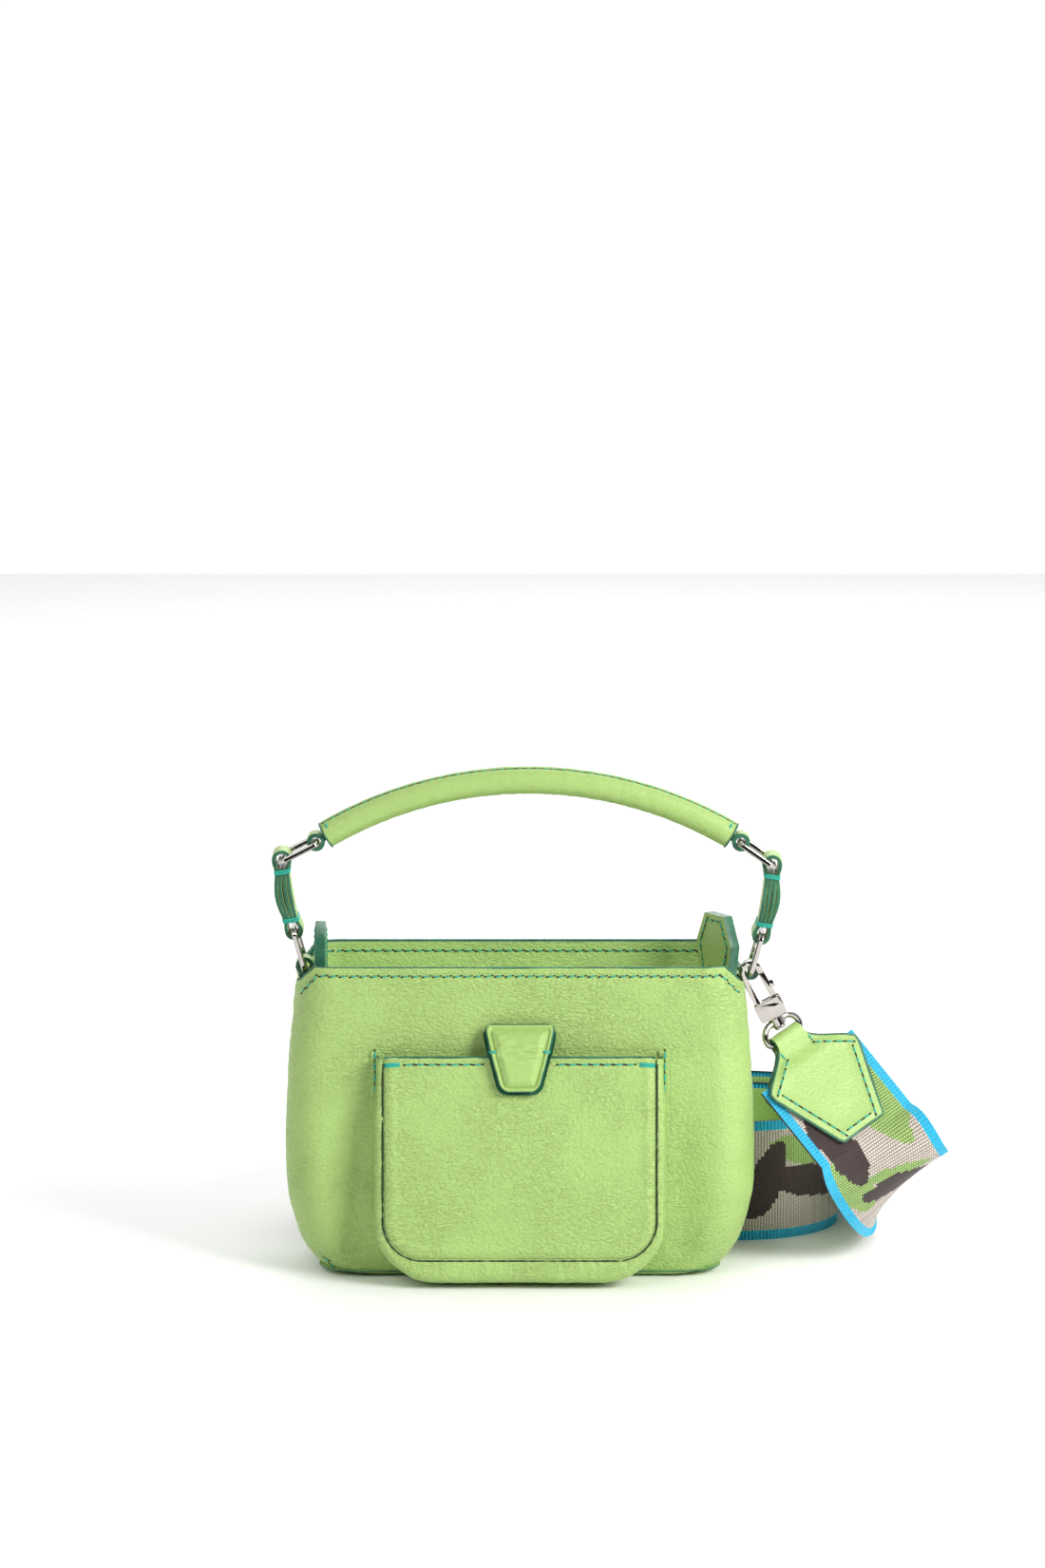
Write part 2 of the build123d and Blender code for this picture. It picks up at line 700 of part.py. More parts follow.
def strap_layer(width, low, high):
    middle = Pos(0, (low + high) / 2)
    sections = [place * middle * Rectangle(width, high - low) for place in strap_stations()]
    return loft(sections, ruled=True)


def make_strap():
    save("strap_webbing", strap_layer(web_width, 0, web_thick))
    save("strap_backing", strap_layer(backing_width, -backing_thick, 0))
    save("strap_end_tab_a", end_a_place.location * end_tab_shape())
    save("strap_end_tab_b", end_b_place.location * end_tab_shape())


# Clasp A hangs on the right lower ring's bottom bar, beside the leather loop.
hang_from = pivots(sides["right"])[0]
hook_y = -(ring_loop_width / 2 + hook_side_gap + hook_thick / 2)
bowl_a = Vector(hang_from.X, hook_y, hang_from.Z)
axis_a = clasp_a_lean.normalized()
flat_y = (Vector(0, 1, 0) - axis_a * axis_a.Y).normalized()
hook_a_place = Plane(origin=bowl_a, x_dir=flat_y.cross(axis_a * -1), z_dir=axis_a * -1)
bar_a = bowl_a + axis_a * clasp_length
run_a = end_a_run.normalized()
bar_dir_a = (end_a_across - run_a * end_a_across.dot(run_a)).normalized()
bar_dir_a = (bar_dir_a - axis_a * bar_dir_a.dot(axis_a)).normalized()
run_a = (run_a - bar_dir_a * run_a.dot(bar_dir_a)).normalized()
ring_a_place = Plane(origin=bowl_a, x_dir=bar_dir_a, z_dir=axis_a * -1)
end_a_place = Plane(origin=bar_a, x_dir=bar_dir_a * -1, z_dir=run_a * -1)

# The loose end lies behind the bag in line with the inner run.
inner_run_y = front_run_y + 2 * inner_turn[1]
bar_b = Vector(tab_b_bar_x, inner_run_y, web_width / 2)
end_b_place = Plane(origin=bar_b, x_dir=(0, 0, 1), z_dir=(-1, 0, 0))
bowl_b = bar_b - Vector(clasp_length, 0, 0)
hook_b_place = Plane(origin=bowl_b, x_dir=(0, 0, -1), z_dir=(-1, 0, 0))

make_body()
make_pocket()
make_closure_tab()
make_linkage()
make_handle()
make_side_fittings()
make_clasp("a", hook_a_place.location, ring_a_place.location)
make_clasp("b", hook_b_place.location, hook_b_place.location)
make_strap()

for name, side in sides.items():
    print(name, [tuple(round(c, 3) for c in p) for p in pivots(side)])
print("bar a", bar_a, "axis", axis_a, "across", bar_dir_a)
print("flap crease y", pocket_y(tab_crease) - flap_front / cos(pocket_tilt))
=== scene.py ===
from math import atan2, cos, degrees, hypot, pi, radians, sin, sqrt, tan

import bpy
import numpy as np
from mathutils import Matrix, Vector, noise


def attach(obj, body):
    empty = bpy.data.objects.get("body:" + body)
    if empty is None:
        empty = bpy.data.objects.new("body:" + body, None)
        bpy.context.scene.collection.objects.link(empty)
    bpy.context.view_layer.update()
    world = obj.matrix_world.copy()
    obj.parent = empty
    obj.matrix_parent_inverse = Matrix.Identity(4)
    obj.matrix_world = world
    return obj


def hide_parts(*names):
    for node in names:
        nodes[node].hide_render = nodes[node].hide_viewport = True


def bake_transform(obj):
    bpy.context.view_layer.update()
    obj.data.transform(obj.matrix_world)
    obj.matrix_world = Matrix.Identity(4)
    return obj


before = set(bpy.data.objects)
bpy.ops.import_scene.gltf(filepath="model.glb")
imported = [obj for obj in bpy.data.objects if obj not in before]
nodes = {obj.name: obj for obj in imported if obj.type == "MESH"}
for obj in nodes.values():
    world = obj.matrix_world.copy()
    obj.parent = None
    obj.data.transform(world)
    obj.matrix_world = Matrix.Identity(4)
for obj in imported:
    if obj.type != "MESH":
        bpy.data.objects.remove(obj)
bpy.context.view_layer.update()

# A small leather handbag. Lengths are millimetres in the workshop's numbers and metres in the
# meshes. X to the right, Y to the back, Z up, from the middle of the bag's underside.
mm = 0.001
scene = bpy.context.scene

# ---- sizes the leather worker cuts to -----------------------------------------------------------
body_height = 127.5
belly_height = 48.0
half_widths = (72.0, 95.0, 89.5)       # at the base, the belly and the mouth
half_depths = (27.0, 35.0, 31.0)
body_corner = 16.0
seam_y = 15.0                          # where the panels meet the side gussets
gusset_top = 115.0
chamfer_start = 83.0
chamfer_slope = 7.5 / 6.5

pocket_half = 55.5
pocket_top = 93.0
pocket_bottom = 12.0
pocket_corner = 16.0
pocket_face_top = -42.114
pocket_slope = 0.1505                  # the pocket's face leans out this much per mm going down

stitch_pitch = 4.15
stitch_length = 2.3
stitch_radius = 0.33


# ---- workshop helpers ---------------------------------------------------------------------------
def deselect():
    for thing in list(bpy.context.selected_objects):
        thing.select_set(False)


def pick(piece):
    deselect()
    piece.select_set(True)
    bpy.context.view_layer.objects.active = piece


def apply_all(piece):
    pick(piece)
    for modifier in list(piece.modifiers):
        bpy.ops.object.modifier_apply(modifier=modifier.name)


def smooth(piece, angle=40.0):
    pick(piece)
    bpy.ops.object.shade_smooth_by_angle(angle=radians(angle))


def hand_over(piece, body, slot, *stands_for):
    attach(piece, body)
    if stands_for:
        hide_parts(*stands_for)
    return piece


def dress(piece, *materials):
    piece.data.materials.clear()
    for material in materials:
        piece.data.materials.append(material)


def corners(piece):
    places = np.zeros(len(piece.data.vertices) * 3)
    piece.data.vertices.foreach_get("co", places)
    return places.reshape(-1, 3)


def set_corners(piece, places):
    piece.data.vertices.foreach_set("co", np.ascontiguousarray(places, dtype=float).ravel())
    piece.data.update()


def outward(piece):
    normals = np.zeros(len(piece.data.vertices) * 3)
    piece.data.vertices.foreach_get("normal", normals)
    return normals.reshape(-1, 3)


def cut_sheet(name, columns, rows, place, relief=None):
    """A flat grid laid on the form place(u, v), then pressed in and out along its normals."""
    deselect()
    bpy.ops.mesh.primitive_grid_add(x_subdivisions=columns, y_subdivisions=rows, size=1)
    piece = bpy.context.object
    piece.name = name
    piece.data.name = name
    flat = corners(piece)
    u, v = flat[:, 0] + 0.5, flat[:, 1] + 0.5
    points = place(u, v)
    set_corners(piece, points * mm)
    if relief is not None:
        normals = outward(piece)
        set_corners(piece, (points + normals * relief(u, v, points)[:, None]) * mm)
    return piece


def thicken(piece, thickness, rim_round=0.35, offset=-1.0):
    solid = piece.modifiers.new("leather", "SOLIDIFY")
    solid.thickness = thickness * mm
    solid.offset = offset
    solid.material_offset_rim = 1
    if rim_round:
        rim = piece.modifiers.new("edge", "BEVEL")
        rim.width = rim_round * mm
        rim.segments = 2
        rim.limit_method = "ANGLE"
        rim.angle_limit = radians(55)
        rim.use_clamp_overlap = True
    apply_all(piece)
    smooth(piece, 50)
    return piece


def weld(piece, distance=0.01):
    pick(piece)
    bpy.ops.object.mode_set(mode="EDIT")
    bpy.ops.mesh.select_all(action="SELECT")
    bpy.ops.mesh.remove_doubles(threshold=distance * mm)
    bpy.ops.object.mode_set(mode="OBJECT")


def mesh_piece(name, points, faces):
    made = bpy.data.meshes.new(name)
    made.from_pydata([tuple(p) for p in points], [], [tuple(int(i) for i in f) for f in faces])
    piece = bpy.data.objects.new(name, made)
    scene.collection.objects.link(piece)
    return piece


def swelling(points, size, seed, octaves=2):
    """Gentle unevenness of hand-worked leather, from -1 to 1."""
    shift = Vector((seed * 7.3, seed * 3.1, seed * 5.7))
    stretch = np.array(size, float)
    total = np.zeros(len(points))
    for step in range(octaves):
        scaled = points / stretch * 2**step
        total += np.array([noise.noise(Vector(p) + shift) for p in scaled]) / 1.6**step
    return total


def ease(value, low, high):
    share = np.clip((value - low) / (high - low), 0, 1)
    return share * share * (3 - 2 * share)


def walk(points, pitch, margin=0.0):
    """Evenly spaced places along a line, and the way it runs there."""
    points = np.array(points, float)
    steps = np.linalg.norm(np.diff(points, axis=0), axis=1)
    along = np.concatenate([[0], np.cumsum(steps)])
    room = along[-1] - 2 * margin
    count = max(2, int(round(room / pitch)) + 1)
    marks = np.linspace(margin, along[-1] - margin, count)
    places = np.array([np.interp(marks, along, points[:, k]) for k in range(3)]).T
    index = np.clip(np.searchsorted(along, marks, side="right") - 1, 0, len(steps) - 1)
    runs = np.diff(points, axis=0)[index] / np.maximum(steps[index], 1e-9)[:, None]
    return places, runs


def one_thread():
    """One visible stitch along X, lifting over the leather: corners and faces."""
    around = 6
    profile = [(-0.5, 0.45, -0.75), (-0.36, 0.95, 0.1), (0.0, 1.05, 0.55), (0.36, 0.95, 0.1),
        (0.5, 0.45, -0.75)]
    points = []
    for place, wide, lift in profile:
        for k in range(around):
            turn = 2 * pi * k / around
            points.append((place, wide * cos(turn), lift + 0.75 * wide * sin(turn)))
    faces = []
    for ring in range(len(profile) - 1):
        for k in range(around):
            a, b = ring * around + k, ring * around + (k + 1) % around
            faces.append((a, b, b + around, a + around))
    faces.append(tuple(range(around))[::-1])
    faces.append(tuple(range(len(points) - around, len(points))))
    return np.array(points), faces


def one_hole():
    """The needle hole at a stitch's end: a small dark mark of painted shade."""
    around = 8
    points = [(cos(2 * pi * k / around), sin(2 * pi * k / around), 0.0) for k in range(around)]
    points += [(0.0, 0.0, 0.35), (0.0, 0.0, -0.6)]
    faces = [(k, (k + 1) % around, around) for k in range(around)]
    faces += [((k + 1) % around, k, around + 1) for k in range(around)]
    return np.array(points), faces


def sew(name, seams, body, slant=0.0, pitch=stitch_pitch, length=stitch_length, radius=stitch_radius,
        margin=1.5, on=None):
    """Rows of stitches. seams holds pairs of a line of points and a function for the normal there."""
    thread_points, thread_faces = one_thread()
    hole_points, hole_faces = one_hole()
    points, faces, finishes = [], [], []

    def add(shape, shape_faces, place, run, side, up, scale, finish):
        first = sum(len(p) for p in points)
        frame_axes = np.array([run, side, up])
        points.append(place + (shape * scale) @ frame_axes)
        faces.extend([tuple(first + i for i in f) for f in shape_faces])
        finishes.extend([finish] * len(shape_faces))

    for line, normal_at in seams:
        places, runs = walk(line, pitch, margin)
        for place, run in zip(places, runs):
            up = np.array(normal_at(place), float)
            up /= np.linalg.norm(up)
            if on is not None:
                hit, spot, _, _ = on.closest_point_on_mesh(Vector(place * mm))
                place = np.array(spot) / mm + up * 0.08 if hit else place
            run = run - up * run.dot(up)
            run /= np.linalg.norm(run)
            side = np.cross(up, run)
            lean = radians(slant)
            tilted = run * cos(lean) + side * sin(lean)
            across = np.cross(up, tilted)
            scale = np.array([length, radius, radius])
            add(thread_points, thread_faces, place, tilted, across, up, scale, 0)
            # Each stitch's two needle holes are dark marks of painted shade.
            for end in (-1, 1):
                spot = place + tilted * end * (length * 0.5 + 0.35)
                add(hole_points, hole_faces, spot, tilted, across, up, np.array([0.72, 0.42, 0.5]), 1)
    piece = mesh_piece(name, np.concatenate(points) * mm, faces)
    dress(piece, thread_finish, painted_shade_finish)
    piece.data.polygons.foreach_set("material_index", finishes)
    smooth(piece, 60)
    hand_over(piece, body, "thread")
    return piece


def bar_tack(name, ends, up, body, radius=0.5, turns=2):
    """A few tight turns of thread across an edge."""
    start, stop = (np.array(e, float) for e in ends)
    run = (stop - start) / np.linalg.norm(stop - start)
    side = np.cross(up, run)
    middle = (start + stop) / 2
    length = np.linalg.norm(stop - start)
    shape, shape_faces = one_thread()
    points, faces = [], []
    for turn in range(turns):
        shift = side * (turn - (turns - 1) / 2) * radius * 1.7
        first = len(points) * len(shape)
        body_axes = np.array([run, side, up])
        points.append(middle + shift + (shape * np.array([length, radius, radius])) @ body_axes)
        faces += [tuple(first + i for i in f) for f in shape_faces]
    piece = mesh_piece(name, np.concatenate(points) * mm, faces)
    dress(piece, thread_finish)
    smooth(piece, 60)
    hand_over(piece, body, "thread")
    return piece


def cord_piece(name, points, radius, closed=False, sides=3):
    """A round wire or thread along points."""
    line = bpy.data.curves.new(name, "CURVE")
    line.dimensions = "3D"
    line.bevel_depth = radius * mm
    line.bevel_resolution = sides
    line.use_fill_caps = True
    spline = line.splines.new("POLY")
    spline.points.add(len(points) - 1)
    for spot, place in zip(spline.points, points):
        spot.co = (*(np.array(place) * mm), 1.0)
    spline.use_cyclic_u = closed
    piece = bpy.data.objects.new(name, line)
    scene.collection.objects.link(piece)
    pick(piece)
    bpy.ops.object.convert(target="MESH")
    piece = bpy.context.object
    smooth(piece, 60)
    return piece


def refined_copy(name, node, rounding, segments=3, angle=30.0):
    """A CAD piece with its facets merged into faces and its edges rounded."""
    piece = nodes[node].copy()
    piece.data = nodes[node].data.copy()
    for key in list(piece.keys()):
        del piece[key]
    piece.parent = None
    piece.name = name
    piece.data.name = name
    scene.collection.objects.link(piece)
    pick(piece)
    bpy.ops.object.mode_set(mode="EDIT")
    bpy.ops.mesh.select_all(action="SELECT")
    bpy.ops.mesh.remove_doubles(threshold=0.004 * mm)
    bpy.ops.mesh.dissolve_limited(angle_limit=radians(1.5))
    bpy.ops.object.mode_set(mode="OBJECT")
    if rounding:
        edge = piece.modifiers.new("rounding", "BEVEL")
        edge.width = rounding * mm
        edge.segments = segments
        edge.limit_method = "ANGLE"
        edge.angle_limit = radians(angle)
        edge.use_clamp_overlap = True
        edge.harden_normals = False
        apply_all(piece)
    smooth(piece, 35)
    return piece


def paint_edges(piece, flat_axis, leather_finish, sureness=0.75):
    """Leather on the faces that look along flat_axis, edge paint on the others."""
    axis = Vector(flat_axis).normalized()
    dress(piece, leather_finish, edge_finish)
    for face in piece.data.polygons:
        face.material_index = 0 if abs(face.normal.dot(axis)) > sureness else 1


# ---- finishes -----------------------------------------------------------------------------------
def finish(name):
    material = bpy.data.materials.new(name)
    material.use_nodes = True
    tree = material.node_tree
    tree.nodes.clear()
    shader = tree.nodes.new("ShaderNodeBsdfPrincipled")
    end = tree.nodes.new("ShaderNodeOutputMaterial")
    tree.links.new(shader.outputs["BSDF"], end.inputs["Surface"])
    return material, tree, shader


def node(tree, kind, settings=(), **inputs):
    made = tree.nodes.new("ShaderNode" + kind)
    for key, value in dict(settings).items():
        setattr(made, key, value)
    for key, value in inputs.items():
        numbered = key[0] == "n" and key[1:].isdigit()
        socket = made.inputs[int(key[1:]) if numbered else key.replace("_", " ")]
        if isinstance(value, bpy.types.NodeSocket):
            tree.links.new(value, socket)
        else:
            socket.default_value = value
    return made


def math_node(tree, operation, *values):
    inputs = {f"n{i}": v for i, v in enumerate(values)}
    return node(tree, "Math", {"operation": operation}, **inputs).outputs[0]


def map_range(tree, value, low, high, to_low=0.0, to_high=1.0):
    made = node(tree, "MapRange", {"interpolation_type": "SMOOTHSTEP"}, Value=value)
    for key, number in (("From Min", low), ("From Max", high), ("To Min", to_low), ("To Max", to_high)):
        made.inputs[key].default_value = number
    return made.outputs[0]


def blend_colours(tree, share, first, second):
    made = node(tree, "Mix", {"data_type": "RGBA"})
    for socket, value in ((made.inputs[0], share), (made.inputs[6], first), (made.inputs[7], second)):
        if isinstance(value, bpy.types.NodeSocket):
            tree.links.new(value, socket)
        else:
            socket.default_value = value
    return made.outputs[2]


def place_in(tree, scale=(1, 1, 1), turn=(0, 0, 0)):
    where = node(tree, "TexCoord").outputs["Object"]
    return node(tree, "Mapping", Vector=where, Scale=scale, Rotation=turn).outputs[0]


def bump(tree, shader, height, strength, distance):
    made = node(tree, "Bump", Strength=strength, Distance=distance, Height=height)
    tree.links.new(made.outputs[0], shader.inputs["Normal"])


def rgb(red, green, blue):
    return (red, green, blue, 1.0)


def leather_finish_of(name, light, deep, grain=820.0, depth=0.00046, roughness=(0.36, 0.5), crease=1.0):
    """Fine pebbled calf leather with small creases that run mostly sideways."""
    material, tree, shader = finish(name)
    where = place_in(tree)
    pebbles = node(tree, "TexVoronoi", {"feature": "F1"}, Vector=place_in(tree, scale=(0.8, 0.8, 1.15)),
        Scale=grain)
    sideways = place_in(tree, scale=(0.34, 0.5, 1.0), turn=(0, radians(16), 0))
    folds = node(tree, "TexNoise", Vector=sideways, Scale=760.0, Detail=2.0, Roughness=0.5, Distortion=0.35)
    ridge = math_node(tree, "ABSOLUTE", math_node(tree, "SUBTRACT", folds.outputs[0], 0.5))
    fold_line = map_range(tree, ridge, 0.0, 0.075)
    fine = node(tree, "TexNoise", Vector=where, Scale=2600.0, Detail=2.0)
    patches = node(tree, "TexNoise", Vector=where, Scale=17.0, Detail=2.0)
    where_folded = map_range(tree,
        node(tree, "TexNoise", Vector=where, Scale=30.0, Detail=2.0).outputs[0], 0.30, 0.62)
    fold_depth = math_node(tree, "MULTIPLY", math_node(tree, "SUBTRACT", 1.0, fold_line), where_folded)
    height = math_node(tree, "MULTIPLY", pebbles.outputs["Distance"], -0.75)
    height = math_node(tree, "SUBTRACT", height, math_node(tree, "MULTIPLY", fold_depth, 0.42 * crease))
    height = math_node(tree, "ADD", height, math_node(tree, "MULTIPLY", fine.outputs[0], 0.12))
    bump(tree, shader, height, 1.0, depth)
    # Painted shade: the colour darkens at the edges of the pebbles and along the folds. The broad patches
    # are random tone in the leather.
    crease_shade = map_range(tree, pebbles.outputs["Distance"], 0.45, 0.95, 0.0, 0.22)
    crease_shade = math_node(tree, "MAXIMUM", crease_shade,
        math_node(tree, "MULTIPLY", fold_depth, 0.10 * crease))
    tone = math_node(tree, "MULTIPLY", map_range(tree, patches.outputs[0], 0.35, 0.75), 0.10)
    shade = math_node(tree, "MAXIMUM", crease_shade, tone)
    colour = blend_colours(tree, shade, light, deep)
    tree.links.new(colour, shader.inputs["Base Color"])
    gloss = map_range(tree, pebbles.outputs["Distance"], 0.1, 0.7, roughness[0], roughness[1])
    tree.links.new(gloss, shader.inputs["Roughness"])
    shader.inputs["Specular IOR Level"].default_value = 0.45
    return material


def edge_paint():
    material, tree, shader = finish("painted_edge")
    where = place_in(tree)
    drips = node(tree, "TexNoise", Vector=where, Scale=520.0, Detail=3.0)
    broad = node(tree, "TexNoise", Vector=where, Scale=90.0, Detail=2.0)
    colour = blend_colours(tree, map_range(tree, broad.outputs[0], 0.35, 0.7), rgb(0.018, 0.105, 0.058),
        rgb(0.036, 0.165, 0.092))
    tree.links.new(colour, shader.inputs["Base Color"])
    tree.links.new(map_range(tree, drips.outputs[0], 0.3, 0.7, 0.26, 0.42), shader.inputs["Roughness"])
    bump(tree, shader, drips.outputs[0], 0.5, 0.0002)
    return material


def thread():
    material, tree, shader = finish("teal_thread")
    where = place_in(tree, turn=(0, radians(35), radians(35)))
    twist = node(tree, "TexWave", {"wave_type": "BANDS"}, Vector=where, Scale=900.0, Distortion=1.0)
    colour = blend_colours(tree, twist.outputs["Fac"], rgb(0.008, 0.270, 0.200), rgb(0.016, 0.450, 0.340))
    tree.links.new(colour, shader.inputs["Base Color"])
    tree.links.new(map_range(tree, twist.outputs["Fac"], 0.0, 1.0, 0.62, 0.45), shader.inputs["Roughness"])
    bump(tree, shader, twist.outputs["Fac"], 0.6, 0.00012)
    return material


def painted_shade_material():
    material, tree, shader = finish("painted_shade_material")
    where = place_in(tree)
    # Near-black painted shade for the needle holes, the pocket's seam line and the gap inside each link.
    # The noise only varies how dark it is.
    shade_mottle = node(tree, "TexNoise", Vector=where, Scale=900.0)
    colour = blend_colours(tree, shade_mottle.outputs[0], rgb(0.006, 0.012, 0.006), rgb(0.03, 0.05, 0.02))
    tree.links.new(colour, shader.inputs["Base Color"])
    shader.inputs["Roughness"].default_value = 0.9
    return material


def metal(name, colour, roughness=(0.06, 0.16)):
    material, tree, shader = finish(name)
    where = place_in(tree)
    wear = node(tree, "TexNoise", Vector=where, Scale=240.0, Detail=4.0)
    rub = node(tree, "TexNoise", Vector=place_in(tree, scale=(1, 1, 0.15)), Scale=2200.0, Detail=2.0)
    dull = blend_colours(tree, map_range(tree, wear.outputs[0], 0.5, 0.8), colour,
        tuple(c * 0.86 for c in colour[:3]) + (1.0,))
    tree.links.new(dull, shader.inputs["Base Color"])
    shader.inputs["Metallic"].default_value = 1.0
    tree.links.new(map_range(tree, wear.outputs[0], 0.3, 0.8, roughness[0], roughness[1]),
        shader.inputs["Roughness"])
    bump(tree, shader, rub.outputs[0], 0.12, 0.00004)
    return material


def webbing_finish():
    """Jacquard webbing: each cell of the pattern is a short float of yarn beside a gap darkened with
    painted shade.
    """
    material, tree, shader = finish("camouflage_webbing")
    yarn = node(tree, "Attribute", {"attribute_name": "yarn", "attribute_type": "GEOMETRY"})
    woven = node(tree, "UVMap", {"uv_map": "weave"}).outputs[0]
    parts = node(tree, "SeparateXYZ", Vector=woven)
    across, along = parts.outputs[0], parts.outputs[1]
    row = math_node(tree, "MULTIPLY", along, 1 / (1.2 * mm))
    odd = math_node(tree, "MODULO", math_node(tree, "FLOOR", row), 2.0)
    column = math_node(tree, "ADD", math_node(tree, "MULTIPLY", across, 1 / (1.05 * mm)),
        math_node(tree, "MULTIPLY", odd, 0.5))
    cross_part = math_node(tree, "FRACT", column)
    run_part = math_node(tree, "FRACT", row)
    bulge = math_node(tree, "MULTIPLY",
        math_node(tree, "SINE", math_node(tree, "MULTIPLY", cross_part, pi)),
                      math_node(tree, "SINE", math_node(tree, "MULTIPLY", run_part, pi)))
    edge_rib = math_node(tree, "SINE", math_node(tree, "MULTIPLY", along, 2 * pi / (1.5 * mm)))
    in_edge = map_range(tree, math_node(tree, "ABSOLUTE", math_node(tree, "SUBTRACT", across, 0.025)),
        0.0206, 0.0212)
    body_height_map = math_node(tree, "POWER", bulge, 0.45)
    edge_height = math_node(tree, "ADD", math_node(tree, "MULTIPLY", edge_rib, 0.5), 0.5)
    height = node(tree, "Mix", {"data_type": "FLOAT"}, n0=in_edge, n2=body_height_map,
        n3=edge_height).outputs[0]
    bump(tree, shader, height, 0.9, 0.0003)
    # Painted shade: the colour darkens in the gaps between the yarn floats, but not on the ribbed edges.
    gap = math_node(tree, "SUBTRACT", 1.0, map_range(tree, bulge, 0.06, 0.42))
    gap = math_node(tree, "MULTIPLY", gap, math_node(tree, "SUBTRACT", 1.0, in_edge))
    gap = math_node(tree, "MULTIPLY", gap, 0.9)
    colour = blend_colours(tree, gap, yarn.outputs["Color"], rgb(0.035, 0.022, 0.018))
    fuzz = node(tree, "TexNoise", Vector=place_in(tree), Scale=1500.0, Detail=2.0)
    colour = blend_colours(tree, map_range(tree, fuzz.outputs[0], 0.3, 0.75, 0.0, 0.22), colour,
        rgb(0.02, 0.02, 0.02))
    tree.links.new(colour, shader.inputs["Base Color"])
    tree.links.new(map_range(tree, height, 0.0, 1.0, 0.8, 0.55), shader.inputs["Roughness"])
    shader.inputs["Sheen Weight"].default_value = 0.15
    return material


def plain_soft(name, colour, dark, scale=600.0, roughness=0.85):
    material, tree, shader = finish(name)
    pores = node(tree, "TexVoronoi", Vector=place_in(tree), Scale=scale)
    mixed = blend_colours(tree, pores.outputs["Distance"], dark, colour)
    tree.links.new(mixed, shader.inputs["Base Color"])
    shader.inputs["Roughness"].default_value = roughness
    bump(tree, shader, pores.outputs["Distance"], 0.6, 0.0003)
    return material


def floor_finish():
    material, tree, shader = finish("studio_paper")
    fibres = node(tree, "TexNoise", Vector=place_in(tree), Scale=60.0)
    colour = blend_colours(tree, fibres.outputs[0], rgb(0.93, 0.93, 0.93), rgb(0.95, 0.95, 0.95))
    tree.links.new(colour, shader.inputs["Base Color"])
    shader.inputs["Roughness"].default_value = 0.75
    return material


lime = rgb(0.345, 0.512, 0.155)
lime_deep = rgb(0.165, 0.290, 0.055)
leather_finish = leather_finish_of("lime_leather", lime, lime_deep)
smooth_leather = leather_finish_of("smooth_lime_leather", lime, lime_deep, grain=1000.0, depth=0.00014,
    roughness=(0.36, 0.48), crease=0.5)
lining_finish = leather_finish_of("lining_leather", rgb(0.42, 0.62, 0.20), rgb(0.22, 0.36, 0.09),
    grain=900.0, depth=0.0003, roughness=(0.5, 0.7), crease=1.3)
backing_finish = leather_finish_of("strap_backing_leather", rgb(0.25, 0.42, 0.10), rgb(0.15, 0.28, 0.06),
    grain=1500.0, depth=0.0001, roughness=(0.6, 0.8), crease=0.3)
edge_finish = edge_paint()
thread_finish = thread()
painted_shade_finish = painted_shade_material()
nickel = metal("polished_nickel", rgb(0.47, 0.445, 0.415), (0.04, 0.10))
steel = metal("spring_steel", rgb(0.50, 0.50, 0.52), (0.2, 0.35))
magnet_finish = metal("magnet_steel", rgb(0.56, 0.57, 0.58), (0.2, 0.4))
web_finish = webbing_finish()
foam_finish = plain_soft("filler", rgb(0.75, 0.72, 0.62), rgb(0.5, 0.47, 0.4))
paper = floor_finish()


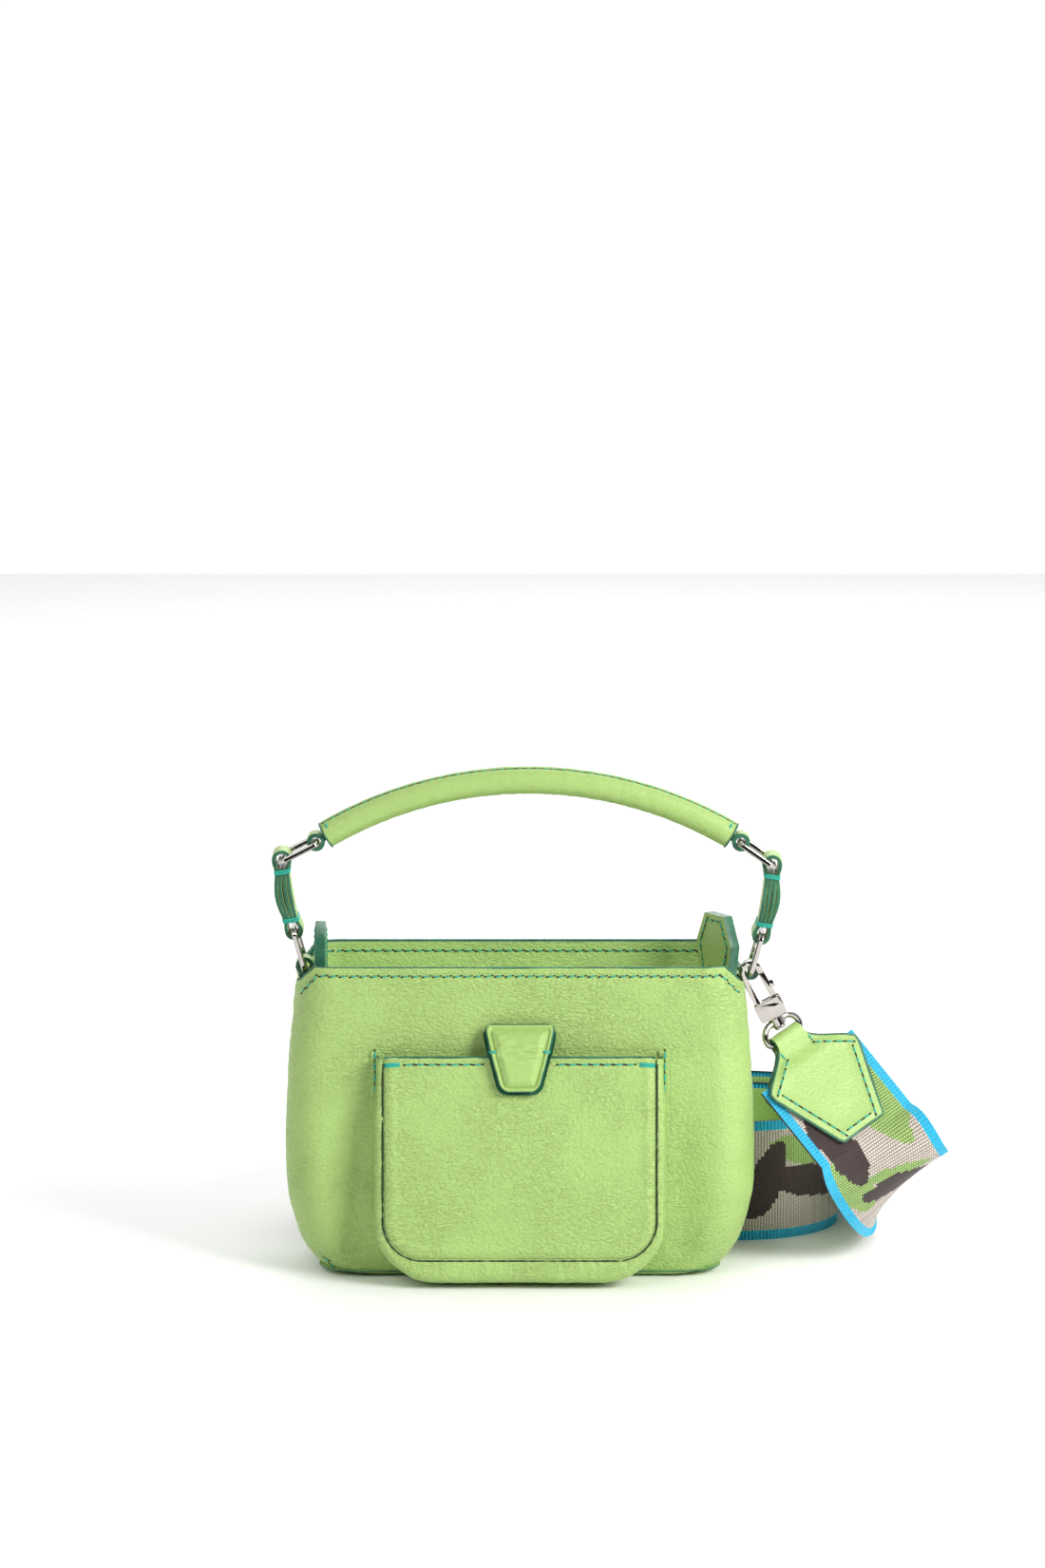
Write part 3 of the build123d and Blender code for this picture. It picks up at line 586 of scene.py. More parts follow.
# ---- camera, floor and light --------------------------------------------------------------------
def set_up_studio():
    aim = Vector((1.1, -27.0, 202.0)) * mm
    distance = 3.2
    lift = radians(9.5)
    lens = bpy.data.cameras.new("camera")
    eye = bpy.data.objects.new("camera", lens)
    scene.collection.objects.link(eye)
    eye.location = aim + Vector((0, -cos(lift), sin(lift))) * distance
    eye.rotation_euler = (pi / 2 - lift, 0, 0)
    lens.sensor_fit = "VERTICAL"
    lens.sensor_height = 36.0
    lens.lens = 36.0 * distance / 0.629
    lens.clip_start = 0.05
    lens.clip_end = 50.0
    lens.dof.use_dof = False
    scene.camera = eye

    deselect()
    bpy.ops.mesh.primitive_plane_add(size=2.0, location=(0, 0, 0))
    floor = bpy.context.object
    floor.name = "floor"
    laid = corners(floor) * np.array([3.0, 1.4, 1.0]) + np.array([0.0, 0.62, 0.0])
    set_corners(floor, laid)
    dress(floor, paper)

    for name, place, energy, size, colour in (
        ("key", (1.2, -1.1, 0.95), 35.0, 0.8, (1.0, 0.99, 0.96)),
        ("fill", (-0.8, -1.5, 1.3), 12.0, 1.1, (1.0, 1.0, 1.0)),
        ("back", (0.3, 1.5, 1.2), 12.0, 1.4, (1.0, 1.0, 1.0)),
    ):
        lamp = bpy.data.lights.new(name, "AREA")
        lamp.energy = energy
        lamp.size = size
        lamp.color = colour
        holder = bpy.data.objects.new(name, lamp)
        scene.collection.objects.link(holder)
        holder.location = place
        aim_at = Vector((0.0, 0.0, 0.09)) - Vector(place)
        holder.rotation_euler = aim_at.to_track_quat("-Z", "Y").to_euler()

    world = bpy.data.worlds.new("studio")
    scene.world = world
    world.use_nodes = True
    tree = world.node_tree
    tree.nodes.clear()
    look = node(tree, "TexCoord").outputs["Generated"]
    parts = node(tree, "SeparateXYZ", Vector=look)
    ahead = math_node(tree, "MULTIPLY", parts.outputs[1], -1.0)
    dark_share = map_range(tree, ahead, 0.42, 0.60)
    left = map_range(tree, math_node(tree, "MULTIPLY", parts.outputs[0], -1.0), -0.1, 0.8)
    left_front = math_node(tree, "MULTIPLY", left, map_range(tree, ahead, -0.35, 0.2))
    below = map_range(tree, math_node(tree, "MULTIPLY", parts.outputs[2], -1.0), 0.02, 0.2)
    dim = math_node(tree, "MAXIMUM", dark_share, math_node(tree, "MULTIPLY", left_front, 0.6))
    dim = math_node(tree, "MAXIMUM", dim,
        math_node(tree, "MULTIPLY", below, map_range(tree, ahead, 0.0, 0.2)))
    front_half = map_range(tree, ahead, -0.25, 0.05, 0.0, 0.62)
    dim = math_node(tree, "MAXIMUM", dim, front_half)
    colour = blend_colours(tree, dim, rgb(1.0, 1.0, 1.0), rgb(0.03, 0.03, 0.035))
    glow = node(tree, "Background", Color=colour, Strength=1.08)
    end = tree.nodes.new("ShaderNodeOutputWorld")
    tree.links.new(glow.outputs[0], end.inputs[0])
    scene.view_settings.view_transform = "Standard"
    scene.view_settings.look = "None"


set_up_studio()


# ---- the bag's form -----------------------------------------------------------------------------
def form_size(sizes, z):
    base, belly, mouth = sizes
    low = base + (belly - base) * np.sqrt(np.clip(1 - (1 - z / belly_height) ** 2, 0, 1))
    rise = (z - belly_height) / (body_height - belly_height)
    return np.where(z < belly_height, low, belly - (belly - mouth) * rise**2)


def section_point(share, z):
    """A point round the front half of the bag's outline: share -1 and 1 are the two side seams."""
    wide, deep = form_size(half_widths, z), form_size(half_depths, z)
    flat = wide - body_corner
    reach = np.arccos(np.clip((seam_y - (deep - body_corner)) / body_corner, 0, 1))
    side = np.maximum(deep - body_corner - seam_y, 0)
    total = flat + body_corner * reach + side
    gone = np.abs(share) * total
    turn = np.clip((gone - flat) / body_corner, 0, reach)
    past = np.maximum(gone - flat - body_corner * reach, 0)
    x = np.minimum(gone, flat) + body_corner * np.sin(turn)
    y = -(deep - body_corner) - body_corner * np.cos(turn) + past
    return np.sign(share) * x, y


def panel_heights(v, top):
    """Heights of a panel's rows: even round the swelling base, close together at the top edge."""
    low_share = 0.4
    turn = np.clip(v / low_share, 0, 1) * pi / 2
    low = belly_height * (1 - np.cos(turn))
    rest = np.clip((v - low_share) / (1 - low_share), 0, 1)
    return np.where(v < low_share, low, belly_height + (top - belly_height) * (1 - (1 - rest) ** 1.4))


def panel_top(x):
    return body_height - np.maximum(np.abs(x) - chamfer_start, 0) * chamfer_slope


def front_depth(x, z):
    """How far in front of the middle the body's leather is, at a place on its front."""
    wide, deep = form_size(half_widths, z), form_size(half_depths, z)
    past = np.clip(np.abs(x) - (wide - body_corner), 0, body_corner)
    return -(deep - body_corner) - np.sqrt(np.maximum(body_corner**2 - past**2, 0))


def front_normal(side=1):
    def at(place):
        x, z = place[0], place[2]
        step = 0.5
        slope_x = (front_depth(x + step, z) - front_depth(x - step, z)) / (2 * step)
        slope_z = (front_depth(x, z + step) - front_depth(x, z - step)) / (2 * step)
        return side * np.array([slope_x, -1.0, slope_z])
    return at


def body_relief(seed, pocket_side):
    def press(u, v, points):
        x, z = points[:, 0], points[:, 2]
        share = np.abs(2 * u - 1)
        seam = 1 - ease((1 - share) * 118, 0.0, 3.2)
        hem = 1 - ease(z, 0.0, 2.5)
        relief = 0.55 * swelling(points, (34, 34, 26), seed)
        relief += 0.16 * swelling(points, (9, 9, 3.4), seed + 1) * ease(z, 4, 20)
        relief -= 1.1 * seam + 0.8 * hem
        below_edge = panel_top(x) - z
        relief += 0.35 * np.exp(-(((below_edge - 1.5) / 1.3) ** 2))
        relief -= 0.5 * np.exp(-(((below_edge - 3.3) / 0.8) ** 2))
        relief *= 0.25 + 0.75 * ease(below_edge, 0.0, 9.0) + 0.6 * np.exp(-((below_edge / 5) ** 2))
        if pocket_side:
            beside = np.exp(-(((np.abs(x) - 66) / 6.5) ** 2)) * ease(z, 2, 14) * (1 - ease(z, 55, 85))
            relief -= 1.5 * beside
            relief += 0.8 * np.exp(-(((np.abs(x) - 81) / 8) ** 2)) * (1 - ease(z, 40, 75)) * ease(z, 4, 16)
        return relief
    return press


def make_body_panels():
    columns, rows = 236, 92
    for name, depth_sign in (("front_leather", -1), ("back_leather", 1)):
        def place(u, v, depth_sign=depth_sign):
            share = (2 * u - 1) * -depth_sign
            high, _ = section_point(share, np.full_like(share, body_height - 4))
            z = panel_heights(v, panel_top(high))
            x, y = section_point(share, z)
            return np.stack([x, y * -depth_sign, z], axis=1)
        panel = cut_sheet(name, columns, rows, place,
            body_relief(3 if depth_sign < 0 else 9, depth_sign < 0))
        dress(panel, leather_finish, edge_finish)
        thicken(panel, 1.9)
        hand_over(panel, "bag", "leather", "front_panel" if depth_sign < 0 else "back_panel")

    for side, sign in (("left", -1), ("right", 1)):
        def place(u, v, sign=sign):
            y = (2 * u - 1) * seam_y * sign
            z = panel_heights(v, np.full_like(v, gusset_top))
            wide, deep = form_size(half_widths, z), form_size(half_depths, z)
            past = np.clip(np.abs(y) - (deep - body_corner), 0, body_corner)
            x = wide - body_corner + np.sqrt(body_corner**2 - past**2)
            return np.stack([sign * x, y, z], axis=1)

        def press(u, v, points, sign=sign):
            seam = 1 - ease(seam_y - np.abs(points[:, 1]), 0.0, 3.0)
            relief = 0.5 * swelling(points, (30, 22, 30), 20 + sign)
            relief += 0.25 * swelling(points, (9, 9, 5), 24 + sign) - 1.1 * seam
            return relief - 0.8 * (1 - ease(points[:, 2], 0.0, 2.5))
        panel = cut_sheet(f"gusset_leather_{side}", 34, 84, place, press)
        dress(panel, leather_finish, edge_finish)
        thicken(panel, 1.9)
        hand_over(panel, "bag", "leather", f"gusset_{side}")

    def base(u, v):
        y = (2 * v - 1) * -half_depths[0]
        past = np.clip(np.abs(y) - (half_depths[0] - body_corner), 0, body_corner)
        half = half_widths[0] - body_corner + np.sqrt(body_corner**2 - past**2)
        x = (2 * u - 1) * half
        return np.stack([x, y, np.full_like(x, 0.35)], axis=1)

    def base_press(u, v, points):
        rim = np.minimum(1 - np.abs(2 * u - 1), 1 - np.abs(2 * v - 1))
        return 0.3 * ease(rim, 0.0, 0.12) - 0.05 * swelling(points, (14, 9, 9), 31)
    panel = cut_sheet("base_leather", 72, 30, base, base_press)
    dress(panel, leather_finish, edge_finish)
    thicken(panel, 1.6)
    hand_over(panel, "bag", "leather", "base_panel")


def make_lining():
    inset = 2.4
    halves = []
    for depth_sign in (-1, 1):
        def place(u, v, depth_sign=depth_sign):
            share = (2 * u - 1) * -depth_sign
            high, _ = section_point(share, np.full_like(share, body_height - 4))
            z = inset + (panel_top(high) - 0.15 - inset) * (v * 0.98 + 0.02 * v**2)
            x, y = section_point(share, z)
            shrink_x = 1 - inset / form_size(half_widths, z)
            return np.stack([x * shrink_x, (y + inset) * -depth_sign, z], axis=1)

        def press(u, v, points):
            below_edge = panel_top(points[:, 0]) - points[:, 2]
            wrinkle = 0.45 * np.abs(swelling(points, (16, 12, 3.6), 41, 3))
            relief = -wrinkle * ease(below_edge, 5.0, 12.0)
            relief -= 0.4 * swelling(points, (30, 20, 18), 44) * ease(below_edge, 3.0, 20.0)
            return relief + 0.3 * np.exp(-(((below_edge - 4.0) / 0.8) ** 2))
        half = cut_sheet(f"lining_{'front' if depth_sign < 0 else 'back'}", 180, 80, place, press)
        halves.append(half)
    for sign in (-1, 1):
        def place(u, v, sign=sign):
            y = (2 * u - 1) * (seam_y + 0.4) * sign
            z = inset + (gusset_top - 0.15 - inset) * v
            wide, deep = form_size(half_widths, z), form_size(half_depths, z)
            past = np.clip(np.abs(y) - (deep - body_corner), 0, body_corner)
            x = wide - body_corner + np.sqrt(body_corner**2 - past**2) - inset
            return np.stack([sign * x, y, z], axis=1)
        halves.append(cut_sheet(f"lining_side_{sign}", 24, 60, place))

    def bottom(u, v):
        y = (2 * v - 1) * (half_depths[0] + 3.5)
        past = np.clip(np.abs(y) - (half_depths[0] + 3.5 - body_corner), 0, body_corner)
        x = (2 * u - 1) * (half_widths[0] + 9.5 - body_corner + np.sqrt(body_corner**2 - past**2))
        return np.stack([x, y, np.full_like(x, inset + 0.5)], axis=1)
    halves.append(cut_sheet("lining_floor", 60, 26, bottom))
    deselect()
    for half in halves:
        half.select_set(True)
    bpy.context.view_layer.objects.active = halves[0]
    bpy.ops.object.join()
    lining = bpy.context.object
    lining.name = "lining_leather"
    dress(lining, lining_finish, edge_finish)
    solid = lining.modifiers.new("lining", "SOLIDIFY")
    solid.thickness = 0.6 * mm
    solid.offset = -1.0
    solid.material_offset_rim = 1
    apply_all(lining)
    smooth(lining, 60)
    hand_over(lining, "bag", "lining_leather", "lining")


def top_seam_line(inset):
    """Points on the front, a fixed distance below the cut top edge, from left to right."""
    slope_angle = atan2(chamfer_slope, 1.0)
    turn_x = chamfer_start - inset * tan(slope_angle / 2)
    low_x = 88.3
    low_z = body_height - inset - (low_x - turn_x) * chamfer_slope
    right = [(turn_x, body_height - inset), (low_x, low_z)]
    flat = [(x, body_height - inset) for x in np.linspace(-turn_x, turn_x, 60)[1:-1]]
    line = [(-x, z) for x, z in right[::-1]] + flat + right
    fine = []
    for (x0, z0), (x1, z1) in zip(line, line[1:]):
        steps = max(1, int(hypot(x1 - x0, z1 - z0) / 0.7))
        fine += [(x0 + (x1 - x0) * k / steps, z0 + (z1 - z0) * k / steps) for k in range(steps)]
    return fine + [line[-1]]


def edge_bead(name, line, body, width=0.42):
    """The rounded bead of edge paint along a cut edge."""
    bead = cord_piece(name, line, width, sides=2)
    dress(bead, edge_finish)
    hand_over(bead, body, "leather")
    return bead


def sew_body():
    rim = [(x, front_depth(x, z) + 0.55, z + 0.05) for x, z in top_seam_line(0.05)]
    edge_bead("front_edge_paint", rim, "bag", 0.5)
    rim = [(x, -(front_depth(x, z) + 0.95), z + 0.05) for x, z in top_seam_line(0.05)]
    edge_bead("back_edge_paint", rim, "bag", 0.6)
    outside = [(x, front_depth(x, z) + 0.12, z) for x, z in top_seam_line(3.3)]
    sew("front_top_stitches", [(outside, front_normal())], "bag", slant=12,
        on=bpy.data.objects["front_leather"])
    behind = [(x, -y, z) for x, y, z in outside]
    sew("back_top_stitches",
        [(behind, lambda p: -front_normal()(np.array([p[0], 0, p[2]])) * np.array([-1, 1, -1]))], "bag",
        slant=-12, on=bpy.data.objects["back_leather"])
    inner = 3.15
    inside_back = [(x * 0.985, -(front_depth(x, z) + inner), z) for x, z in top_seam_line(4.0)]
    inside_front = [(x * 0.985, front_depth(x, z) + inner, z) for x, z in top_seam_line(4.0)]
    sew(
        "mouth_stitches",
        [(inside_back, lambda p: np.array([0, -1.0, 0])), (inside_front, lambda p: np.array([0, 1.0, 0]))],
        "bag",
        slant=8,
        on=bpy.data.objects["lining_leather"],
    )
    darts = []
    for sign in (-1, 1):
        line = []
        for k in range(8):
            z = 3.0 + k * 1.15
            x = sign * (75.5 + k * 0.85)
            line.append((x, front_depth(x, z) - 0.1, z))
        darts.append((line, front_normal()))
    sew("dart_stitches", darts, "bag", slant=35, pitch=3.4, length=2.2, radius=0.34, margin=1.2)


make_body_panels()
make_lining()
sew_body()


# ---- front pocket -------------------------------------------------------------------------------
def pocket_y(z):
    return pocket_face_top - (pocket_top - z) * pocket_slope


def u_half_width(z, half, bottom, corner):
    """Half width at height z of a U with round bottom corners."""
    low = np.clip(corner - (z - bottom), 0, corner)
    return half - corner + np.sqrt(np.maximum(corner**2 - low**2, 0))


def u_distance(x, z, half, bottom, corner):
    """Distance in from a U's outline, its open top left out."""
    inner_x, inner_z = np.abs(x) - (half - corner), (bottom + corner) - z
    corner_gap = corner - np.hypot(np.maximum(inner_x, 0), np.maximum(inner_z, 0))
    return np.where((inner_x > 0) | (inner_z > 0), corner_gap, corner + np.minimum(-inner_x, -inner_z))


def make_pocket_panel():
    def place(u, v):
        z = pocket_bottom + (pocket_top - pocket_bottom) * (1 - np.cos(np.clip(v, 0, 1) * pi * 0.62)) / (1
            - cos(pi * 0.62))
        x = (2 * u - 1) * u_half_width(z, pocket_half, pocket_bottom, pocket_corner)
        x *= 1 - 0.012 * ease(z, 60, pocket_top)
        return np.stack([x, pocket_y(z), z], axis=1)

    def press(u, v, points):
        x, z = points[:, 0], points[:, 2]
        inset = u_distance(x, z, pocket_half, pocket_bottom, pocket_corner)
        crown = 1.5 * np.clip(1 - (x / 55.5) ** 2, 0, 1) * np.sin(pi * np.clip((z - 12) / 66, 0, 1))
        relief = crown + 0.45 * swelling(points, (24, 20, 15), 51) * ease(inset, 2,
            12) * (1 - ease(z, 64, 76))
        relief += 0.14 * swelling(points, (8, 6, 3.0), 53) * ease(inset, 3, 8)
        relief -= 2.0 * (1 - np.sqrt(np.clip(1 - (1 - np.clip(inset / 3.6, 0, 1)) ** 2, 0, 1)))
        relief += 0.35 * np.exp(-(((inset - 4.2) / 1.6) ** 2))
        below = pocket_top - z
        relief -= 0.35 * np.exp(-(((below - 2.7) / 0.8) ** 2))
        return relief
    panel = cut_sheet("pocket_leather", 132, 96, place, press)
    dress(panel, leather_finish, edge_finish)
    thicken(panel, 1.6)
    hand_over(panel, "bag", "leather", "pocket_front")
    tilt = atan2(pocket_slope, 1.0)
    normal = np.array([0, -cos(tilt), sin(tilt)])
    z = pocket_top - 2.7
    gap_half = 14.8
    rows = []
    for sign in (-1, 1):
        ends = (sign * (pocket_half - 9.0), sign * gap_half)
        rows.append(([(x, pocket_y(z) + 0.1, z) for x in np.linspace(*ends, 20)], lambda p: normal))
    rim = [(x, pocket_y(pocket_top) + 0.35, pocket_top + 0.05) for x in np.linspace(-pocket_half + 1.0,
        pocket_half - 1.0, 60)]
    edge_bead("pocket_edge_paint", rim, "bag", 0.5)
    sew("pocket_mouth_stitches", rows, "bag", slant=3, pitch=4.9, length=3.0, radius=0.33, margin=2.0,
        on=panel)
    for sign, side in ((-1, "left"), (1, "right")):
        spots = [(sign * (pocket_half - 0.8), pocket_y(z) + 0.3, z - 0.5),
            (sign * (pocket_half - 7.6), pocket_y(z) - 0.1, z)]
        bar_tack(f"pocket_tack_{side}", spots, normal, "bag", radius=0.5, turns=2)


def make_pocket_gusset():
    """The soft wall between the pocket's panel and the bag, rolled out past the panel's seam."""
    low, radius = 3.6, 24.5
    half = 58.6

    def outline(share, half, bottom, corner, top):
        """A point and its outward direction at a share of the way round a U, left top to right top."""
        straight = top - bottom - corner
        arc = corner * pi / 2
        floor = 2 * (half - corner)
        total = 2 * straight + 2 * arc + floor
        gone = share * total
        x, z = np.zeros_like(gone), np.zeros_like(gone)
        nx, nz = np.zeros_like(gone), np.zeros_like(gone)
        left = gone <= straight
        x[left], z[left], nx[left] = -half, (top - gone)[left], -1
        turn = (gone - straight) / corner
        bend = (gone > straight) & (gone <= straight + arc)
        x[bend] = (-(half - corner) - corner * np.cos(turn))[bend]
        z[bend] = (bottom + corner - corner * np.sin(turn))[bend]
        nx[bend], nz[bend] = -np.cos(turn)[bend], -np.sin(turn)[bend]
        along = gone - straight - arc
        flat = (along > 0) & (along <= floor)
        x[flat], z[flat], nz[flat] = (-(half - corner) + along)[flat], bottom, -1
        second = (along - floor) / corner
        bend = (along > floor) & (along <= floor + arc)
        x[bend] = (half - corner + corner * np.sin(second))[bend]
        z[bend] = (bottom + corner - corner * np.cos(second))[bend]
        nx[bend], nz[bend] = np.sin(second)[bend], -np.cos(second)[bend]
        right = along > floor + arc
        x[right], z[right], nx[right] = half, (bottom + corner + along - floor - arc)[right], 1
        return x, z, nx, nz

    def place(u, v):
        top = pocket_top - 0.6
        px, pz, _, _ = outline(u, pocket_half - 0.5, pocket_bottom + 0.4, pocket_corner, top)
        qx, qz, _, _ = outline(u, half, low, radius, top)
        high = ease(qz, 66.0, 86.0)
        roll = 0.34
        early = np.clip(v / roll, 0, 1)
        late = np.clip((v - roll) / (1 - roll), 0, 1)
        out = np.where(v < roll, np.sqrt(np.clip(1 - (1 - early) ** 2, 0, 1)), 1 - 0.10 * late**2)
        out = out * (1 - 0.55 * high) + 0.1 * high
        tuck = (1 - early) ** 3 * 0.05
        x = px + (qx - px) * (out - tuck) * (0.6 + 0.4 * late)
        z = pz + (qz - pz) * (out - tuck)
        front = pocket_y(z) + 1.4
        back = front_depth(x, np.maximum(z, 1.0)) + 0.4
        depth_share = np.where(v < roll, 0.22 * early**2.2, 0.22 + 0.78 * late)
        y = front + (back - front) * depth_share
        return np.stack([x, y, np.maximum(z, 0.45)], axis=1)

    def press(u, v, points):
        gather = 0.35 * swelling(points, (7, 7, 7), 61, 2) * (1 - ease(v, 0.3, 0.8))
        pucker = 0.12 * np.sin(u * 2 * pi * 62) * (1 - ease(v, 0.06, 0.22))
        return gather * ease(points[:, 2], 1.0, 6.0) + pucker
    wall = cut_sheet("pocket_gusset_leather", 240, 34, place, press)
    dress(wall, leather_finish, edge_finish)
    thicken(wall, 1.2, rim_round=0.25)
    hand_over(wall, "bag", "leather", "pocket_gusset")

    seam_x, seam_z, _, _ = outline(np.linspace(0.004, 0.996, 300), pocket_half - 0.3, pocket_bottom + 0.2,
        pocket_corner, pocket_top - 1.5)
    seam = cord_piece("pocket_seam_shadow", np.stack([seam_x, pocket_y(seam_z) + 0.25, seam_z], axis=1),
        0.36, sides=1)
    dress(seam, painted_shade_finish)
    hand_over(seam, "bag", "thread")

    for sign, side in ((-1, "left"), (1, "right")):
        def flange(u, v, sign=sign):
            z = 50.0 + (pocket_top + 1.4 - 50.0) * v
            x = sign * (55.9 + 4.2 * (u if sign > 0 else 1 - u))
            lift = 1.0 * ease(z, 50, 58)
            return np.stack([x, front_depth(x, z) - lift, z], axis=1)
        strip = cut_sheet(f"pocket_flange_{side}", 8, 60, flange)
        dress(strip, leather_finish, leather_finish)
        thicken(strip, 0.9, rim_round=0.4)
        hand_over(strip, "bag", "leather")
    rows = []
    for x in (-58.4, 58.4):
        rows.append(([(x, front_depth(x, z) - 0.95, z) for z in np.linspace(64.0, pocket_top + 1.0, 40)],
            front_normal()))
    sew("pocket_flange_stitches", rows, "bag", slant=0, pitch=4.5, length=3.2, radius=0.4, margin=1.6)
    tilt = atan2(pocket_slope, 1.0)
    normal = np.array([0, -cos(tilt), sin(tilt)])
    return normal


make_pocket_panel()
make_pocket_gusset()


# ---- closure tab --------------------------------------------------------------------------------
tab_top, tab_crease, tab_bottom = 106.0, 96.0, 80.0
tab_thick = 3.3


def tab_half(z):
    share = (z - tab_bottom) / (tab_top - tab_bottom)
    return 7.6 + 7.0 * share


def tab_outline_half(z):
    """Half width of the tab's outline with its corners rounded."""
    low = np.clip(4.0 - (z - tab_bottom), 0, 4.0)
    high = np.clip(3.0 - (tab_top - z), 0, 3.0)
    round_low = 4.0 - np.sqrt(np.maximum(16.0 - low**2, 0))
    round_high = 3.0 - np.sqrt(np.maximum(9.0 - high**2, 0))
    return tab_half(z) - round_low - round_high


def tab_face(z):
    """Y of the tab's front: out from the bag down to the crease, then down the pocket."""
    head = -36.6
    crease = pocket_y(tab_crease) - 4.25
    upper = head + (crease - head) * (tab_top - z) / (tab_top - tab_crease)
    lower = pocket_y(z) - 4.25
    mix = ease(z, tab_crease - 2.5, tab_crease + 2.5)
    return upper * mix + lower * (1 - mix)


def make_closure_tab():
    def place(u, v):
        z = tab_bottom + (tab_top - tab_bottom) * (1 - np.cos(v * pi)) / 2
        x = (2 * u - 1) * tab_outline_half(z)
        return np.stack([x, tab_face(z), z], axis=1)

    def inset_of(points):
        x, z = points[:, 0], points[:, 2]
        slant = cos(atan2(7.0, tab_top - tab_bottom))
        side = (tab_half(z) - np.abs(x)) * slant
        ends = np.minimum(z - tab_bottom, tab_top - z)
        corner = 3.4
        both = corner - np.hypot(np.maximum(corner - side, 0), np.maximum(corner - ends, 0))
        return np.where((side < corner) & (ends < corner), both, np.minimum(side, ends))

    def press(u, v, points):
        inset = inset_of(points)
        z = points[:, 2]
        lip = 0.25 * np.exp(-(((inset - 0.8) / 0.6) ** 2))
        groove = -0.75 * np.exp(-(((inset - 1.95) / 0.4) ** 2))
        pad = 1.3 * ease(inset, 2.1, 5.0)
        near_crease = np.exp(-(((z - tab_crease - 0.3) / 2.2) ** 2))
        folds = 0.8 * swelling(points, (6, 7, 1.0), 71,
            2) * np.exp(-(((z - tab_crease) / 5.0) ** 2)) * ease(inset, 2.0, 4.0)
        round_off = -0.35 * (1 - ease(inset, 0.0, 0.8))
        return lip + groove + pad * (1 - 0.35 * near_crease) + folds + round_off
    tab = cut_sheet("closure_tab_leather", 96, 110, place, press)
    dress(tab, smooth_leather, edge_finish)
    thicken(tab, tab_thick, rim_round=0.5)
    for face in tab.data.polygons:
        x, y, z = (c / mm for c in face.center)
        slant = cos(atan2(7.0, tab_top - tab_bottom))
        rim_gap = min((tab_outline_half(np.array(z)) - abs(x)) * slant, z - tab_bottom, tab_top - z)
        if rim_gap < 0.5:
            face.material_index = 1
    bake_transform(tab)
    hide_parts("closure_tab_base", "closure_flap", "flap_padding", "flap_lining")
    z = tab_crease + 0.1
    for sign, side in ((-1, "left"), (1, "right")):
        out = tab_half(z)
        spots = [(sign * (out + 0.5), tab_face(z) + 0.3, z - 0.1),
            (sign * (out - 2.7), tab_face(z) - 0.25, z + 0.15)]
        bar_tack(f"tab_tack_{side}", spots, np.array([0, -1.0, 0]), "bag", radius=0.55, turns=1)


make_closure_tab()


# ---- handle -------------------------------------------------------------------------------------
pivot = {
    "left": [(-87.3, 123.2), (-91.442, 138.136), (-96.311, 167.232), (-82.5, 174.269)],
    "right": [(93.6, 121.2), (97.872, 136.1), (102.233, 165.276), (89.536, 174.166)],
}
out_sign = {"left": -1, "right": 1}
handle_radius = 5.5
loop_radius = 3.7


def handle_end(side):
    x, z = pivot[side][3]
    rise = radians(30)
    reach = loop_radius + 0.5
    return x - out_sign[side] * reach * cos(rise), z + reach * sin(rise)


def circle_through(a, b, c):
    (ax, ay), (bx, by), (cx, cy) = a, b, c
    d = 2 * (ax * (by - cy) + bx * (cy - ay) + cx * (ay - by))
    ux = ((ax**2 + ay**2) * (by - cy) + (bx**2 + by**2) * (cy - ay) + (cx**2 + cy**2) * (ay - by)) / d
    uy = ((ax**2 + ay**2) * (cx - bx) + (bx**2 + by**2) * (ax - cx) + (cx**2 + cy**2) * (bx - ax)) / d
    return ux, uy, hypot(ax - ux, ay - uy)


handle_start, handle_stop = handle_end("left"), handle_end("right")
apex = ((handle_start[0] + handle_stop[0]) / 2, 199.0)
bow_x, bow_z, bow_radius = circle_through(handle_start, apex, handle_stop)
bow_from = atan2(handle_start[1] - bow_z, handle_start[0] - bow_x)
bow_to = atan2(handle_stop[1] - bow_z, handle_stop[0] - bow_x)


def handle_surface(share, turn, radius):
    """A place on the handle: share along it, turn round it with 0 on top and a quarter to the back."""
    angle = bow_from + (bow_to - bow_from) * share
    out = bow_radius + radius * np.cos(turn)
    return np.stack([bow_x + out * np.cos(angle), radius * np.sin(turn), bow_z + out * np.sin(angle)],
        axis=-1)


